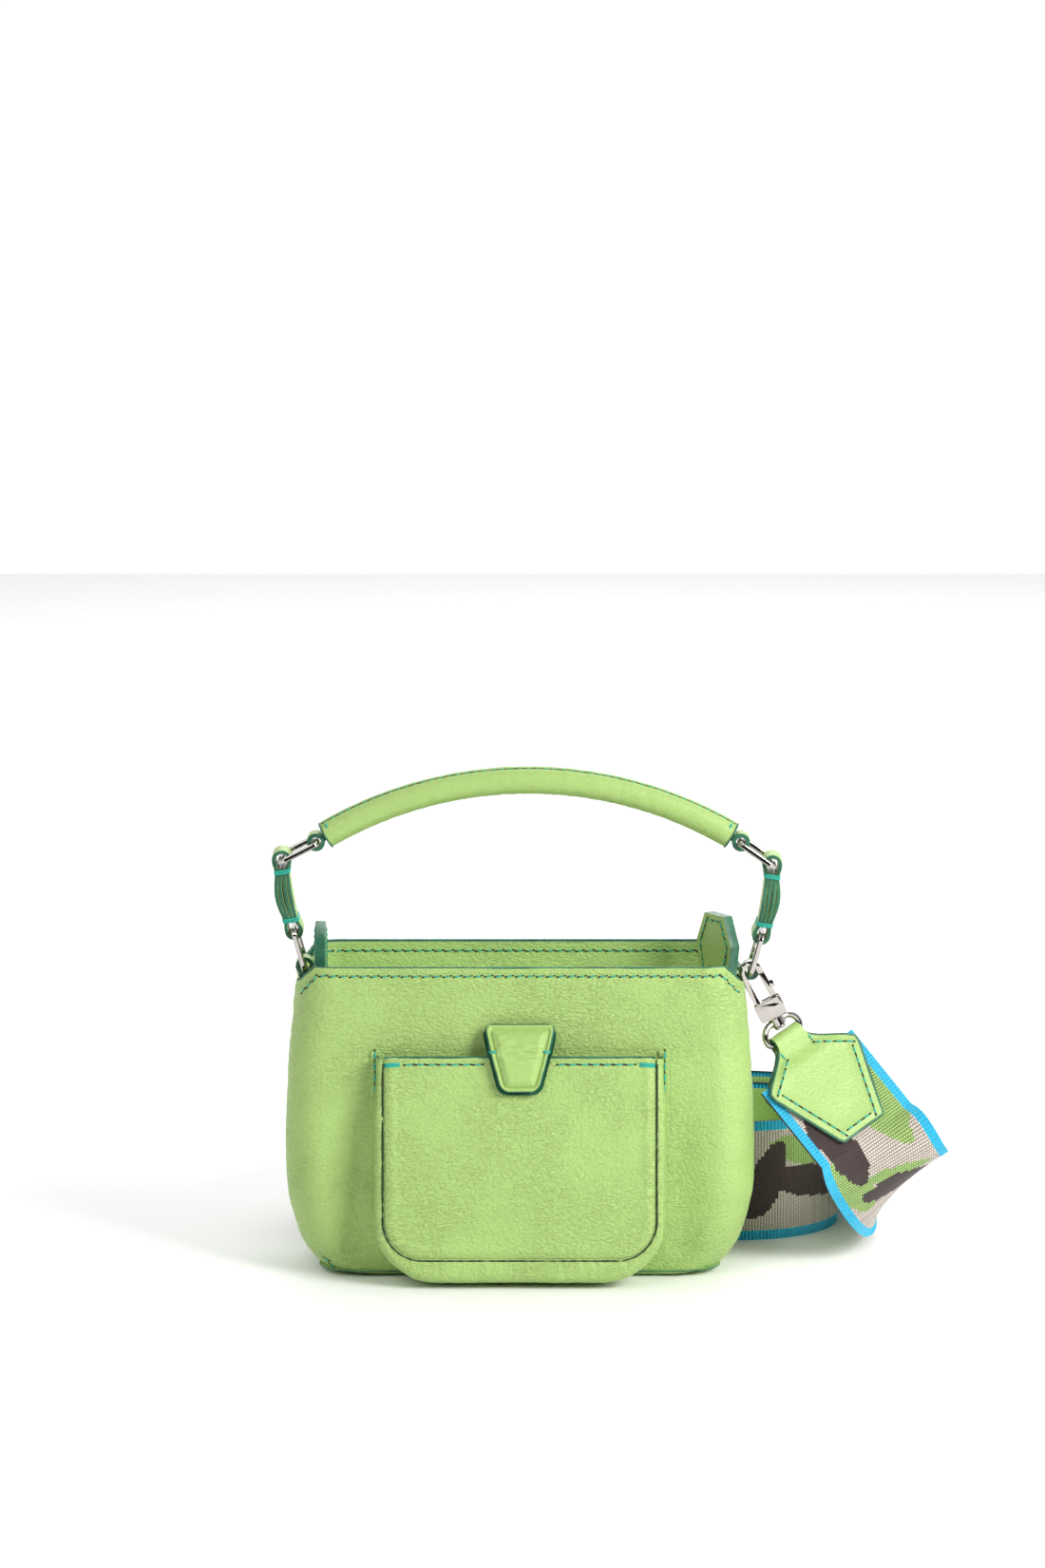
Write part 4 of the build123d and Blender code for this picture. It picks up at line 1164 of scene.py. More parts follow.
def make_handle():
    length = bow_radius * abs(bow_to - bow_from)

    def place(u, v):
        return handle_surface(v, 2 * pi * u, handle_radius)

    def press(u, v, points):
        turn = 2 * pi * u
        from_seam = np.minimum(turn, 2 * pi - turn)
        seam = -0.35 * np.exp(-((from_seam / 0.12) ** 2)) + 0.22 * np.exp(-(((from_seam
            - 0.34) / 0.16) ** 2))
        wrinkles = 0.16 * swelling(points, (3.2, 7, 9), 81, 2) * (0.4 + 0.6 * np.sin(pi * v))
        ends = 0.12 * np.exp(-((np.minimum(v, 1 - v) * length / 2.2) ** 2))
        return seam + wrinkles + ends
    cover = cut_sheet("handle_leather", 40, 220, place, press)
    weld(cover)
    pick(cover)
    bpy.ops.object.mode_set(mode="EDIT")
    bpy.ops.mesh.select_all(action="SELECT")
    bpy.ops.mesh.normals_make_consistent(inside=False)
    bpy.ops.object.mode_set(mode="OBJECT")
    dress(cover, smooth_leather, edge_finish)
    thicken(cover, 1.8, rim_round=0.3)
    hand_over(cover, "handle", "leather", "handle_cover")

    for side, share in (("left", 0.002), ("right", 0.998)):
        ring = handle_surface(np.full(48, share), np.linspace(0, 2 * pi, 49)[:-1], handle_radius - 0.1)
        bead = cord_piece(f"handle_edge_{side}", ring, 0.42, closed=True, sides=2)
        dress(bead, edge_finish)
        hand_over(bead, "handle", "leather")

    middle = np.array([bow_x, 0, bow_z])

    def normal(p):
        return np.array([p[0] - middle[0], 0, p[2] - middle[2]])
    line = handle_surface(np.linspace(0.012, 0.988, 260), np.full(260, 0.3), handle_radius + 0.08)
    line_front = handle_surface(np.linspace(0.012, 0.988, 260), np.full(260, -0.3), handle_radius + 0.08)

    def tipped(sign):
        def at(p):
            radial = normal(p) / np.linalg.norm(normal(p))
            return radial * cos(0.3) + np.array([0, sign * sin(0.3), 0])
        return at
    sew("handle_stitches", [(line, tipped(1)), (line_front, tipped(-1))], "handle", pitch=3.6, length=2.0,
        radius=0.26, margin=1.0, on=cover)

    for side, share in (("left", 0.016), ("right", 0.984)):
        ends = [handle_surface(np.array([share]), np.array([-1.05]), handle_radius + 0.1)[0],
                handle_surface(np.array([share]), np.array([-0.55]), handle_radius + 0.1)[0]]
        up = (np.array(ends[0]) + np.array(ends[1])) / 2 - handle_surface(np.array([share]),
            np.array([0.0]), 0.0)[0]
        bar_tack(f"handle_tack_{side}", ends, up / np.linalg.norm(up), "handle", radius=0.4, turns=1)
    for side in ("left", "right"):
        loop = refined_copy(f"handle_loop_leather_{side}", f"handle_loop_{side}", 0.35, 3)
        paint_by_sides(loop)
        hand_over(loop, "handle", "leather", f"handle_loop_{side}")


def paint_by_sides(piece):
    """Edge paint on the faces that look to the front and back, leather round the rest."""
    dress(piece, smooth_leather, edge_finish)
    for face in piece.data.polygons:
        face.material_index = 1 if abs(face.normal.y) > 0.45 else 0


make_handle()


# ---- links: folded and layered straps between the rings --------------------------------------------
def make_link(side):
    (x1, z1), (x2, z2) = pivot[side][1], pivot[side][2]
    first, second = np.array([x1, 0, z1]), np.array([x2, 0, z2])
    run = (second - first) / np.linalg.norm(second - first)
    out = np.array([run[2], 0, -run[0]]) * out_sign[side]
    length = np.linalg.norm(second - first)
    loop_low, loop_high = 2.95, 3.3
    tack = 5.2
    bow = 1.7

    def bend(a):
        inside = np.clip(a / length, 0, 1)
        return bow * np.sin(pi * inside) ** 1.3

    def spread(a):
        """Half distance between the outer layers' middles at a place along the link."""
        low = np.sqrt(np.maximum(loop_low**2 - np.minimum(a, 0) ** 2, 0))
        high = np.sqrt(np.maximum(loop_high**2 - np.maximum(a - length, 0) ** 2, 0))
        waist = 2.1 + 0.75 * np.sin(pi * np.clip((a - tack) / (length - 2 * tack), 0, 1))
        from_low = 1 - ease(a, 0.4, tack)
        from_high = ease(a, length - tack, length - 0.4)
        return waist * (1 - from_low) * (1 - from_high) + low * from_low + high * from_high

    def ring_path(count):
        reach = np.concatenate([-loop_low * np.cos(np.linspace(0, pi / 2, 14)),
            np.linspace(0.2, length - 0.2, 60),
                                length + loop_high * np.sin(np.linspace(0, pi / 2, 14))])
        half = spread(reach)
        half[0] = half[-1] = 0.0
        forward = np.stack([half, reach], axis=1)
        backward = np.stack([-half, reach], axis=1)[::-1][1:]
        line = np.concatenate([forward, backward])
        steps = np.concatenate([[0], np.cumsum(np.linalg.norm(np.diff(line, axis=0), axis=1))])
        marks = np.linspace(0, steps[-1], count)
        return np.stack([np.interp(marks, steps, line[:, k]) for k in range(2)], axis=1)

    rows = 170
    path = ring_path(rows + 1)

    def on_path(u, v):
        index = np.clip(v * rows, 0, rows)
        across = np.interp(index, np.arange(rows + 1), path[:, 0])
        along = np.interp(index, np.arange(rows + 1), path[:, 1])
        y = (2 * u - 1) * 6.4
        wave = bend(along)
        return first + np.outer(along, run) + np.outer(across + wave, out) + np.outer(y, [0, 1, 0])

    def press(u, v, points):
        return 0.12 * swelling(points, (5, 6, 5), 90 + out_sign[side])
    band = cut_sheet(f"link_leather_{side}", 14, rows, on_path, press)
    weld(band, 0.02)
    pick(band)
    bpy.ops.object.mode_set(mode="EDIT")
    bpy.ops.mesh.select_all(action="SELECT")
    bpy.ops.mesh.normals_make_consistent(inside=False)
    bpy.ops.object.mode_set(mode="OBJECT")
    dress(band, smooth_leather, edge_finish)
    thicken(band, 1.6, rim_round=0.35, offset=0.0)
    parts = [band]
    for number, share in enumerate((-0.34, 0.34)):
        def inner(u, v, share=share):
            along = 3.4 + (length - 6.9) * v
            across = share * spread(along) * 1.05
            y = (2 * u - 1) * 6.5
            return first + np.outer(along, run) + np.outer(across + bend(along), out) + np.outer(y,
                [0, 1, 0])
        layer = cut_sheet(f"link_layer_{number}", 10, 60, inner)
        dress(layer, smooth_leather, edge_finish)
        thicken(layer, 1.45, rim_round=0.3, offset=0.0)
        parts.append(layer)

    # A dark sheet of painted shadow between the inner layers, seen in the gaps between the link's layered
    # edges.
    def core(u, v):
        along = 3.6 + (length - 7.3) * v
        return first + np.outer(along, run) + np.outer(bend(along), out) + np.outer((2 * u - 1) * 5.7,
            [0, 1, 0])
    gap_shadow_sheet = cut_sheet("link_gap_shadow", 6, 60, core)
    dress(gap_shadow_sheet, painted_shade_finish, painted_shade_finish)
    thicken(gap_shadow_sheet, 4.0, rim_round=0.0, offset=0.0)
    parts.append(gap_shadow_sheet)
    deselect()
    for part in parts:
        part.select_set(True)
    bpy.context.view_layer.objects.active = band
    bpy.ops.object.join()
    band = bpy.context.object
    hand_over(band, f"link_{side}", "leather", f"link_strap_{side}")

    wraps = []
    for place in (4.6, length - 4.8):
        for shift in (-0.45, 0.45):
            half_thick = spread(np.array([place]))[0] + 0.95
            corners_at = [(-half_thick, -7.0), (half_thick, -7.0), (half_thick, 7.0), (-half_thick, 7.0)]
            loop = []
            for (a0, y0), (a1, y1) in zip(corners_at, corners_at[1:] + corners_at[:1]):
                for k in range(6):
                    t = k / 6
                    across, y = a0 + (a1 - a0) * t, y0 + (y1 - y0) * t
                    squeeze = 1 - 0.05 * abs(across / half_thick * y / 7.0)
                    along = place + shift
                    loop.append(first + run * along + out * (across * squeeze + bend(along))
                        + np.array([0, y * squeeze, 0]))
            wraps.append(cord_piece(f"wrap_{place:.0f}", loop, 0.48, closed=True, sides=2))
    deselect()
    for wrap in wraps:
        wrap.select_set(True)
    bpy.context.view_layer.objects.active = wraps[0]
    bpy.ops.object.join()
    tacks = bpy.context.object
    tacks.name = f"link_thread_{side}"
    dress(tacks, thread_finish)
    hand_over(tacks, f"link_{side}", "thread", f"link_tacks_{side}")


for side in ("left", "right"):
    make_link(side)


# ---- ring loops and standing side tabs ------------------------------------------------------------
side_tab_foot = 98.0
tab_turn = {"left": ("X", 21.0), "right": ("Z", 22.0)}


def make_side_fittings():
    for side in ("left", "right"):
        loop = refined_copy(f"ring_loop_leather_{side}", f"ring_loop_{side}", 0.35, 3)
        paint_by_sides(loop)
        hand_over(loop, "bag", "leather", f"ring_loop_{side}")
        tab = refined_copy(f"side_tab_leather_{side}", f"side_tab_{side}", 0.9, 4)
        axis_name, turned = tab_turn[side]
        turn = Matrix.Rotation(radians(turned), 3, axis_name)
        stack = 95 - 5.5 * ((gusset_top - 48) / 79.5) ** 2 - 3.2
        centre_x = out_sign[side] * (stack - 3.2 - 2.2 - 2.0)
        flat_axis = turn @ Vector((1, 0, 0))
        paint_edges(tab, flat_axis, smooth_leather, 0.9)

        def twisted(point, centre_x=centre_x, extra=12.0 if side == "right" else 0.0):
            turn_by = radians(extra) * float(ease(np.array(point[2]), 106.0, 124.0))
            dx, dy = point[0] - centre_x, point[1]
            return (centre_x + dx * cos(turn_by) - dy * sin(turn_by),
                dx * sin(turn_by) + dy * cos(turn_by), point[2])
        set_corners(tab, np.array([twisted(p) for p in corners(tab) / mm]) * mm)
        hand_over(tab, "bag", "leather", f"side_tab_{side}")
        outline = [(-5.6, 16.0), (-9.4, 33.6), (-4.6, 43.6), (4.6, 43.6), (9.4, 33.6), (5.6, 16.0)]
        seams = []
        for face in (-1, 1):
            line = []
            for w, z in outline:
                local = turn @ Vector((face * 2.28, w, z))
                line.append(twisted((local.x + centre_x, local.y, local.z + side_tab_foot)))
            normal = np.array(flat_axis) * face
            seams.append((line, lambda p, normal=normal: normal))
        sew(f"side_tab_stitches_{side}", seams, "bag", pitch=3.9, length=2.9, radius=0.34, margin=0.8)


make_side_fittings()


# ---- metal ----------------------------------------------------------------------------------------
def make_metal():
    for name in ("lower_ring_left", "lower_ring_right", "upper_ring_left", "upper_ring_right",
                 "swivel_ring_a", "swivel_ring_b", "swivel_rivet_a", "swivel_rivet_b",
                 "gate_pin_a", "gate_pin_b"):
        dress(nodes[name], nickel)
    for letter in ("a", "b"):
        hook = refined_copy(f"hook_metal_{letter}", f"hook_{letter}", 0.55, 4)
        dress(hook, nickel)
        hand_over(hook, f"hook_{letter}", "nickel", f"hook_{letter}")
        gate = refined_copy(f"gate_metal_{letter}", f"gate_{letter}", 0.4, 3)
        dress(gate, nickel)
        hand_over(gate, f"gate_{letter}", "nickel", f"gate_{letter}")
        make_spring(letter)
    dress(nodes["pocket_magnet"], magnet_finish)
    dress(nodes["flap_magnet"], magnet_finish)
    dress(nodes["handle_core"], foam_finish)
    dress(nodes["base_board"], lining_finish)


def make_spring(letter):
    """A fine coil in place of the plain cylinder between the block and the gate."""
    places = corners(nodes[f"gate_spring_{letter}"]) / mm
    middle = places.mean(axis=0)
    _, _, axes = np.linalg.svd(places - middle, full_matrices=False)
    spread = (places - middle) @ axes.T
    sizes = spread.max(axis=0) - spread.min(axis=0)
    along = int(np.argmax(np.abs(sizes - 1.6)))
    length = sizes[along] - 0.3
    axis = axes[along]
    side = np.cross(axis, [0.3, 0.5, 0.81])
    side /= np.linalg.norm(side)
    other = np.cross(axis, side)
    turns = 6
    count = turns * 14
    points = []
    for k in range(count + 1):
        t = k / count
        angle = 2 * pi * turns * t
        points.append(middle + axis * (t - 0.5) * length + (side * cos(angle) + other * sin(angle)) * 0.62)
    coil = cord_piece(f"spring_coil_{letter}", points, 0.16, sides=1)
    dress(coil, steel)
    hand_over(coil, f"hook_{letter}", "spring_steel", f"gate_spring_{letter}")


make_metal()


# ---- shoulder strap ---------------------------------------------------------------------------------
web_width, web_thick = 50.0, 1.6
backing_width = web_width - 4.0
web_start = 13.0             # the webbing starts this far from an end tab's bar
band_middle = web_width / 2  # height of the middle of the standing coil
front_run_y = 39.0
outer_turn = (-30.0, 52.0)   # centre X and radius of the left-hand turn
inner_turn = (91.0, 40.0)    # centre X and radius of the right-hand turn
back_run_y = front_run_y + 2 * outer_turn[1]
join_x = 70.0                # where the hanging stretch meets the standing coil
bar_a = np.array([108.189, -4.822, 93.885])
run_a = np.array([0.6171, -0.2856, -0.7332])
across_a = np.array([0.7433, 0.5173, 0.4241])
run_a = run_a / np.linalg.norm(run_a)
across_a = across_a - run_a * across_a.dot(run_a)
across_a /= np.linalg.norm(across_a)
bar_b = np.array([-20.0, front_run_y + 2 * inner_turn[1], band_middle])
fold_low, fold_high = (142.5, 0.0, 16.8), (171.0, 2.0, 57.4)   # ends of the line where it turns back
hang_points = [
    (149.5, -11.5, 50.5, 0.73, 0.40, 0.55),
    (156.5, 8.5, 39.5, 0.69, 0.18, 0.70),
    (157.5, 34.0, 31.6, 0.63, 0.00, 0.78),
    (153.0, 61.0, 28.0, 0.42, -0.06, 0.90),
    (142.0, 90.0, 25.9, 0.22, -0.05, 0.97),
    (124.0, 116.0, 25.2, 0.08, -0.03, 1.00),
    (101.0, 135.5, 25.0, 0.00, 0.00, 1.00),
    (86.0, 141.2, 25.0, 0.00, 0.00, 1.00),
]


def lay_ribbon(start, run, across, bends, twists, length, steps=72):
    """Lay a ribbon that bends and twists but never curves in its own plane."""
    place, ahead, side = start.copy(), run.copy(), across.copy()
    face = np.cross(ahead, side)
    step = length / steps
    places, sides = [place], [side]
    marks = (np.arange(steps) + 0.5) / steps
    stations = np.linspace(0, 1, len(bends))
    for bend, twist in zip(np.interp(marks, stations, bends) * step,
            np.interp(marks, stations, twists) * step):
        turned = ahead * cos(bend) - face * sin(bend)
        face = face * cos(bend) + ahead * sin(bend)
        place = place + (ahead + turned) * (step / 2)
        ahead = turned
        rolled = side * cos(twist) + face * sin(twist)
        face = face * cos(twist) - side * sin(twist)
        side = rolled
        places.append(place)
        sides.append(side)
    return np.array(places), np.array(sides), ahead


def hang_ribbon(start, run, across, join):
    """Find how the strap hangs between the end tab and the standing coil, easing it step by step."""
    guides = np.array([start] + [np.array(p[:3]) for p in hang_points] + [join])
    gone = np.concatenate([[0], np.cumsum(np.linalg.norm(np.diff(guides, axis=0), axis=1))])
    shares = gone[1:-1] / gone[-1]
    count = 9
    guess = np.concatenate([np.full(count, 0.009), np.zeros(count), [gone[-1]]])

    def miss(guess):
        bends, twists = guess[:count], guess[count : 2 * count]
        places, sides, ahead = lay_ribbon(start, run, across, bends, twists, guess[-1])
        marks = np.linspace(0, 1, len(places))
        near = np.stack([np.interp(shares, marks, places[:, k]) for k in range(3)], axis=1) - guides[1:-1]
        fold = int(len(places) * 0.17)
        low = places[fold] - sides[fold] * web_width / 2
        high = places[fold] + sides[fold] * web_width / 2
        corner = np.array([low[0] - fold_low[0], low[2] - fold_low[2], high[0] - fold_high[0],
            high[2] - fold_high[2]])
        ground = np.maximum(0.6 - (places[:, 2] - np.abs(sides[:, 2]) * web_width / 2), 0)
        parts = [(places[-1] - join) * 3, (ahead - [-1.0, 0, 0]) * 60, (sides[-1] - [0, 0, 1.0]) * 60]
        parts += [near.ravel() * 0.13, corner * 0.5, ground, np.diff(bends) * 60, np.diff(twists) * 60,
            twists * 25, twists[:1] * 90]
        return np.concatenate(parts)

    for _ in range(24):
        left = miss(guess)
        slopes = np.empty((len(left), len(guess)))
        for k in range(len(guess)):
            nudge = 1e-6 if k < 2 * count else 1e-3
            moved = guess.copy()
            moved[k] += nudge
            slopes[:, k] = (miss(moved) - left) / nudge
        damping = np.diag([3.0] * (2 * count) + [1e-4])
        change = np.linalg.solve(slopes.T @ slopes + damping, -slopes.T @ left)
        share = 1.0
        while np.sum(miss(guess + change * share) ** 2) > np.sum(left**2) and share > 0.02:
            share /= 2
        guess = guess + change * share
    places, sides, _ = lay_ribbon(start, run, across, guess[:count], guess[count : 2 * count], guess[-1],
        220)
    places += (join - places[-1]) * np.linspace(0, 1, len(places))[:, None] ** 2
    return places, sides


def strap_line():
    """The strap's middle line and the way across it towards its upper edge, end to end."""
    leave = bar_a + run_a * 52.0
    join = np.array([join_x, back_run_y, band_middle])
    up = np.array([0, 0, 1.0])
    places, across = hang_ribbon(leave, run_a, across_a, join)
    line = [bar_a + run_a * t for t in (web_start, 2 * web_start, 3 * web_start)] + list(places)
    sides = [across_a] * 3 + list(across)

    def turn(centre_x, radius, start):
        for k in range(181):
            angle = radians(start + k)
            y = front_run_y + radius + radius * sin(angle)
            line.append(np.array([centre_x + radius * cos(angle), y, band_middle]))
            sides.append(up)
    turn(*outer_turn, 90)
    turn(*inner_turn, -90)
    line.append(bar_b + [web_start, 0.0, 0.0])
    sides.append(up)
    line, sides = np.array(line), np.array(sides)
    steps = np.linalg.norm(np.diff(line, axis=0), axis=1)
    keep = np.concatenate([[True], steps > 0.02])
    line, sides = line[keep], sides[keep]
    return line, sides


strap_points, strap_sides = strap_line()
strap_steps = np.concatenate([[0], np.cumsum(np.linalg.norm(np.diff(strap_points, axis=0), axis=1))])
strap_length = strap_steps[-1]


def strap_frame(distance):
    """Middle, way across, way out of the webbing face and way along, at distances along the strap."""
    def at(marks):
        return np.stack([np.interp(marks, strap_steps, strap_points[:, k]) for k in range(3)], axis=1)
    middle = at(distance)
    ahead = at(np.minimum(distance + 1.0, strap_length)) - at(np.maximum(distance - 1.0, 0.0))
    ahead /= np.linalg.norm(ahead, axis=1)[:, None]
    across = np.stack([np.interp(distance, strap_steps, strap_sides[:, k]) for k in range(3)], axis=1)
    across -= ahead * np.sum(across * ahead, axis=1)[:, None]
    across /= np.linalg.norm(across, axis=1)[:, None]
    face = np.cross(ahead, across)
    return middle, across, face, ahead


# Patches of the camouflage, in the order they are laid: yarn, place across and along the strap, half
# size across and along, and turn in degrees. The pattern repeats unevenly behind the bag.
camouflage = [
    ("green", 37.0, 24.0, 12.0, 24.0, 4.0),
    ("green", 9.0, 54.0, 8.0, 16.0, 6.0),
    ("green", 28.0, 58.0, 17.0, 2.6, -14.0),
    ("brown", 12.0, 36.0, 7.5, 18.0, 10.0),
    ("brown", 27.0, 65.0, 17.0, 5.0, -8.0),
    ("green", 20.0, 96.0, 12.0, 14.0, 20.0),
    ("brown", 32.0, 118.0, 9.0, 22.0, -18.0),
    ("green", 16.0, 165.0, 10.0, 22.0, 10.0),
    ("brown", 30.0, 196.0, 10.0, 20.0, 24.0),
    ("green", 36.0, 246.0, 8.0, 20.0, -10.0),
    ("brown", 14.0, 284.0, 8.0, 24.0, 14.0),
    ("green", 30.0, 330.0, 12.0, 16.0, 30.0),
    ("brown", 26.0, 380.0, 9.0, 22.0, -26.0),
    ("green", 12.0, 432.0, 8.0, 22.0, 8.0),
    ("brown", 34.0, 474.0, 9.0, 22.0, 16.0),
    ("green", 22.0, 530.0, 12.0, 18.0, -18.0),
    ("brown", 18.0, 588.0, 9.0, 22.0, 22.0),
    ("green", 11.0, 640.0, 10.0, 11.0, 0.0),
    ("green", 36.0, 676.0, 6.0, 13.0, -12.0),
    ("brown", 24.0, 661.0, 17.0, 7.0, -24.0),
    ("brown", 23.0, 682.0, 7.0, 21.0, -10.0),
    ("green", 12.0, 730.0, 9.0, 18.0, 14.0),
    ("brown", 34.0, 776.0, 9.0, 20.0, -20.0),
    ("green", 18.0, 826.0, 10.0, 16.0, 10.0),
]


def yarn_colours(across, along):
    """The camouflage's four yarns at places on the strap, in millimetres."""
    cream, brown = np.array([0.70, 0.62, 0.54]), np.array([0.030, 0.009, 0.008])
    green, blue = np.array([0.36, 0.58, 0.15]), np.array([0.012, 0.44, 0.70])
    colours = np.tile(cream, (len(across), 1))
    spots = np.stack([across / 9.0, along / 13.0, np.zeros_like(across)], axis=1)
    wander = np.array([noise.noise(Vector(p)) for p in spots])
    for colour, middle, mark, wide, long, turn in camouflage:
        t = radians(turn)
        a = (along - mark) * cos(t) + (across - middle) * sin(t)
        b = -(along - mark) * sin(t) + (across - middle) * cos(t)
        inside = np.hypot(a / long, b / wide) + 0.28 * wander < 1.0
        colours[inside] = {"green": green, "brown": brown, "cream": cream}[colour]
    colours[(across < 4.2) | (across > 45.8)] = blue
    return colours


def make_webbing():
    rows = int(strap_length / 0.75)
    columns = 50

    def place(u, v):
        middle, across, face, _ = strap_frame(v * strap_length)
        offset = (u - 0.5) * web_width
        rib = 0.16 * np.cos(pi * np.round(v * rows)) * np.where(np.abs(offset) > 20.8, 1.0, 0.25)
        return middle + across * offset[:, None] + face * (web_thick - 0.18 + rib)[:, None]

    band = cut_sheet("strap_webbing_cloth", columns, rows, place)
    mesh = band.data
    loops = np.zeros(len(mesh.loops), dtype=np.int64)
    mesh.loops.foreach_get("vertex_index", loops)
    native = np.zeros(len(mesh.loops) * 2)
    mesh.uv_layers[0].data.foreach_get("uv", native)
    native = native.reshape(-1, 2)
    mesh.uv_layers[0].name = "weave"
    flat = native * np.array([web_width, strap_length]) * mm
    mesh.uv_layers[0].data.foreach_set("uv", flat.ravel())
    face_uv = np.zeros((len(mesh.polygons), 2))
    starts = np.zeros(len(mesh.polygons), dtype=np.int64)
    mesh.polygons.foreach_get("loop_start", starts)
    for k in range(4):
        face_uv += flat[starts + k] / 4
    stepped_across = np.floor(face_uv[:, 0] / mm / 1.0) + 0.5
    stepped_along = (np.floor(face_uv[:, 1] / mm / 1.2) + 0.5) * 1.2
    face_colours = yarn_colours(stepped_across, stepped_along)
    yarn = mesh.color_attributes.new("yarn", "FLOAT_COLOR", "CORNER")
    per_corner = np.ones((len(mesh.loops), 4))
    for k in range(4):
        per_corner[starts + k, :3] = face_colours
    yarn.data.foreach_set("color", per_corner.ravel())
    if face_normal_wrong(band):
        band.data.flip_normals()

    pick(band)
    bpy.ops.object.mode_set(mode="EDIT")
    bpy.ops.mesh.select_all(action="DESELECT")
    bpy.ops.mesh.select_mode(type="EDGE")
    bpy.ops.mesh.select_non_manifold(extend=False, use_wire=False, use_boundary=True,
        use_multi_face=False, use_non_contiguous=False, use_verts=False)
    bpy.ops.mesh.extrude_edges_move()
    bpy.ops.object.mode_set(mode="OBJECT")
    lower = [v.index for v in band.data.vertices if v.select]
    places = corners(band)
    moved = np.array(lower)
    distance, offset = project_on_strap(places[moved] / mm)
    middle, across, face, _ = strap_frame(distance)
    places[moved] = (middle + across * offset[:, None] + face * 0.05) * mm
    set_corners(band, places)
    dress(band, web_finish, web_edge_finish)
    for polygon in band.data.polygons:
        if polygon.index >= rows * columns:
            polygon.material_index = 1
    smooth(band, 40)
    hand_over(band, "bag", "webbing", "strap_webbing")
    return band


def face_normal_wrong(band):
    polygon = band.data.polygons[len(band.data.polygons) // 2]
    distance, _ = project_on_strap(np.array([polygon.center]) / mm)
    _, _, face, _ = strap_frame(distance)
    return np.array(polygon.normal).dot(face[0]) < 0


def project_on_strap(places):
    """Distance along the strap and offset across it for places on it."""
    marks = np.linspace(0, strap_length, 2400)
    middle, across, _, _ = strap_frame(marks)
    distances, offsets = [], []
    for place in places:
        delta = place - middle
        side = np.sum(delta * across, axis=1)
        rest = delta - across * side[:, None]
        score = np.sum(rest**2, axis=1) + np.where(np.abs(side) > 26.5, 1e6, 0)
        best = int(np.argmin(score))
        distances.append(marks[best])
        offsets.append(side[best])
    return np.array(distances), np.array(offsets)


def make_backing():
    rows = int(strap_length / 2.2)

    def place(u, v):
        distance = v * (strap_length - 2.0)
        middle, across, face, _ = strap_frame(distance)
        offset = (0.5 - u) * backing_width
        return middle + across * offset[:, None] - face * 1.35

    def press(u, v, points):
        inset = backing_width / 2 - np.abs((u - 0.5) * backing_width)
        groove = -0.25 * np.exp(-(((inset - 3.0) / 0.9) ** 2))
        return groove + 0.07 * swelling(points, (9, 9, 9), 121, 1)
    lining = cut_sheet("strap_backing_cloth", 24, rows, place, press)
    dress(lining, backing_finish, edge_finish)
    thicken(lining, 1.25, rim_round=0.3)
    hand_over(lining, "bag", "lining_leather", "strap_backing")
    seams = []
    marks = np.linspace(54.0, strap_length - 40.0, 520)
    middle, across, face, _ = strap_frame(marks)
    for offset in (-20.0, 20.0):
        line = middle + across * offset - face * 1.28

        def normal(p, line=line, face=face):
            return -face[int(np.argmin(np.sum((line - p) ** 2, axis=1)))]
        seams.append((line, normal))
    sew("strap_backing_stitches", seams, "bag", pitch=4.4, length=3.0, radius=0.3, margin=1.0)


def inset_corner(before, corner, after, distance):
    """The corner of a line drawn a fixed distance inside an outline's corner (outline clockwise)."""
    before, corner, after = (np.array(p, float) for p in (before, corner, after))
    first = (corner - before) / np.linalg.norm(corner - before)
    second = (after - corner) / np.linalg.norm(after - corner)
    n1, n2 = np.array([first[1], -first[0]]), np.array([second[1], -second[0]])
    bisector = (n1 + n2) / np.linalg.norm(n1 + n2)
    return corner + bisector * distance / max(bisector.dot(n1), 0.3)


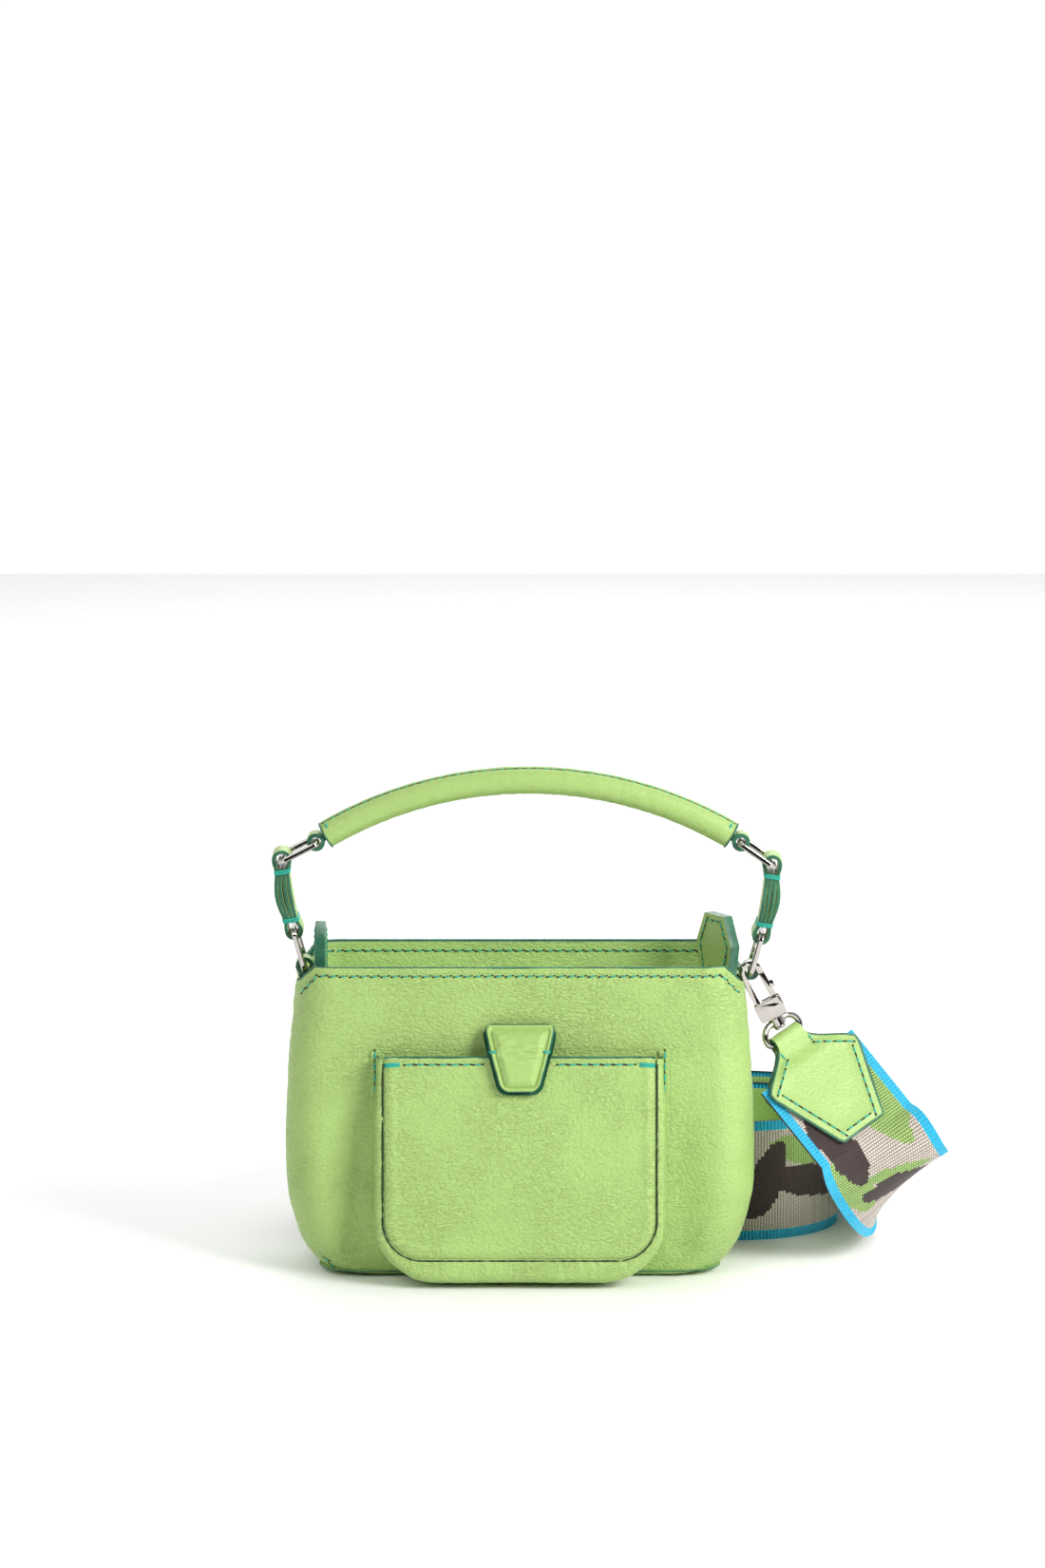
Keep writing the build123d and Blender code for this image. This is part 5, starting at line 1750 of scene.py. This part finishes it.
def make_end_tab(letter, bar, x_dir, z_dir):
    """A shield of leather folded round the clasp's bar, with the strap's end sewn between its leaves."""
    bar, x_dir, z_dir = (np.array(v, float) for v in (bar, x_dir, z_dir))
    x_dir /= np.linalg.norm(x_dir)
    z_dir /= np.linalg.norm(z_dir)
    y_dir = np.cross(z_dir, x_dir)
    neck, shoulder, tip = 4.0, 16.0, 49.0
    neck_half, wide_half, tip_half = 7.0, 24.3, 11.0

    def half(depth):
        widening = neck_half + (wide_half - neck_half) * (depth - neck) / (shoulder - neck)
        narrowing = wide_half + (tip_half - wide_half) * (depth - shoulder) / (tip - shoulder)
        value = np.where(depth < neck, neck_half, np.where(depth < shoulder, widening, narrowing))
        soft_tip = np.sqrt(np.clip(1 - np.clip((depth - tip + 1.8) / 1.8, 0, 1) ** 2, 0, 1)) * 1.8 - 1.8
        soft_wide = -0.8 * np.exp(-(((depth - shoulder) / 1.6) ** 2))
        soft_neck = 0.8 * np.exp(-(((depth - neck) / 2.0) ** 2))
        return value + soft_tip + soft_wide + soft_neck

    def leaf_y(depth, front):
        """Middle of a leaf's leather: it meets the other leaf at the neck and lies on the strap below."""
        settled = (1.6 + 1.0) if front else -(1.4 + 1.0)
        pinched = 1.15 if front else -1.05
        return pinched + (settled - pinched) * ease(depth, 7.0, 13.5)

    bend_radius = 2.65
    arc = [(bend_radius * cos(t), bend_radius * sin(t)) for t in np.linspace(0, pi, 15)]
    profile = [(leaf_y(np.array(d), True), -d) for d in np.linspace(tip, 5.0, 58)]
    profile += [(1.9, -3.2), (2.45, -1.4)]
    profile += arc
    profile += [(-2.45, -1.4), (-1.8, -3.2)]
    profile += [(leaf_y(np.array(d), False), -d) for d in np.linspace(5.0, tip, 58)]
    profile = np.array(profile, float)
    steps = np.concatenate([[0], np.cumsum(np.linalg.norm(np.diff(profile, axis=0), axis=1))])

    def place(u, v):
        gone = v * steps[-1]
        y = np.interp(gone, steps, profile[:, 0])
        z = np.interp(gone, steps, profile[:, 1])
        x = (2 * u - 1) * half(np.maximum(-z, 0))
        return bar + np.outer(x, x_dir) + np.outer(y, y_dir) + np.outer(z, z_dir)

    def local(points):
        offset = points - bar
        return offset @ x_dir, offset @ y_dir, offset @ z_dir

    def press(u, v, points):
        x, _, z = local(points)
        depth = -z
        slope = cos(atan2(wide_half - tip_half, tip - shoulder))
        inset = np.minimum((half(depth) - np.abs(x)) * slope, tip - depth)
        inset = np.minimum(inset,
            (depth - (neck + (np.abs(x) - neck_half) * (shoulder - neck) / (wide_half - neck_half)))
            * 0.82 + 200 * (np.abs(x) < neck_half))
        groove = -0.3 * np.exp(-(((inset - 3.3) / 0.8) ** 2)) * ease(depth, 4, 7)
        puff = 0.35 * ease(inset, 3.3, 9.0) * ease(depth, 6, 16)
        return groove + puff + 0.1 * swelling(points, (11, 11, 11), 131)
    leaf = cut_sheet(f"strap_end_{letter}", 56, 150, place, press)
    dress(leaf, smooth_leather, edge_finish)
    thicken(leaf, 1.7, rim_round=0.35, offset=0.0)
    hand_over(leaf, "bag", "leather", f"strap_end_tab_{letter}")
    depths = np.linspace(3.0, tip - 0.3, 60)
    for front in (True, False):
        lift = leaf_y(depths, front) + (0.45 if front else -0.45)
        right = [bar + x_dir * half(d) + y_dir * y - z_dir * d for d, y in zip(depths, lift)]
        left = [bar - x_dir * half(d) + y_dir * y - z_dir * d for d, y in zip(depths, lift)]
        edge_bead(f"strap_end_edge_{letter}_{'front' if front else 'back'}", right + left[::-1], "bag",
            0.62)

    outline = [(-neck_half, -2.0), (-neck_half, -neck), (-wide_half, -shoulder), (-tip_half, -tip),
        (tip_half, -tip),
               (wide_half, -shoulder), (neck_half, -neck), (neck_half, -2.0)]
    inner = []
    for before, corner, after in zip(outline, outline[1:], outline[2:]):
        inner.append(inset_corner(before, corner, after, -3.3))
    inner[0] = np.array([-neck_half - 0.6, -neck - 4.6])
    inner[-1] = np.array([neck_half + 0.6, -neck - 4.6])
    line2 = [np.array([-neck_half - 0.6, -neck - 0.6])] + inner + [np.array([neck_half + 0.6, -neck - 0.6])]
    seams = []
    for front in (True, False):
        side = 1 if front else -1
        line = []
        for p, q in zip(line2, line2[1:]):
            for k in range(12):
                x, z = p + (q - p) * k / 12
                y = leaf_y(np.array(-z), front) + side * (0.95 + 0.12)
                line.append(bar + x_dir * x + y_dir * y + z_dir * z)
        x, z = line2[-1]
        line.append(bar + x_dir * x + y_dir * (leaf_y(np.array(-z), front) + side * 1.07) + z_dir * z)
        seams.append((line, lambda p, side=side: y_dir * side))
    sew(f"strap_end_stitches_{letter}", seams, "bag", pitch=4.4, length=2.9, radius=0.36, margin=1.0,
        on=leaf)


def web_edge():
    material, tree, shader = finish("webbing_edge")
    woven = node(tree, "TexWave", {"wave_type": "BANDS"}, Vector=place_in(tree), Scale=350.0,
        Distortion=2.0)
    colour = blend_colours(tree, woven.outputs["Fac"], rgb(0.030, 0.012, 0.010), rgb(0.075, 0.032, 0.026))
    tree.links.new(colour, shader.inputs["Base Color"])
    shader.inputs["Roughness"].default_value = 0.8
    bump(tree, shader, woven.outputs["Fac"], 0.6, 0.0002)
    return material


web_edge_finish = web_edge()
make_webbing()
make_backing()
make_end_tab("a", bar_a, -across_a, -run_a)
make_end_tab("b", bar_b, (0, 0, 1), (-1, 0, 0))
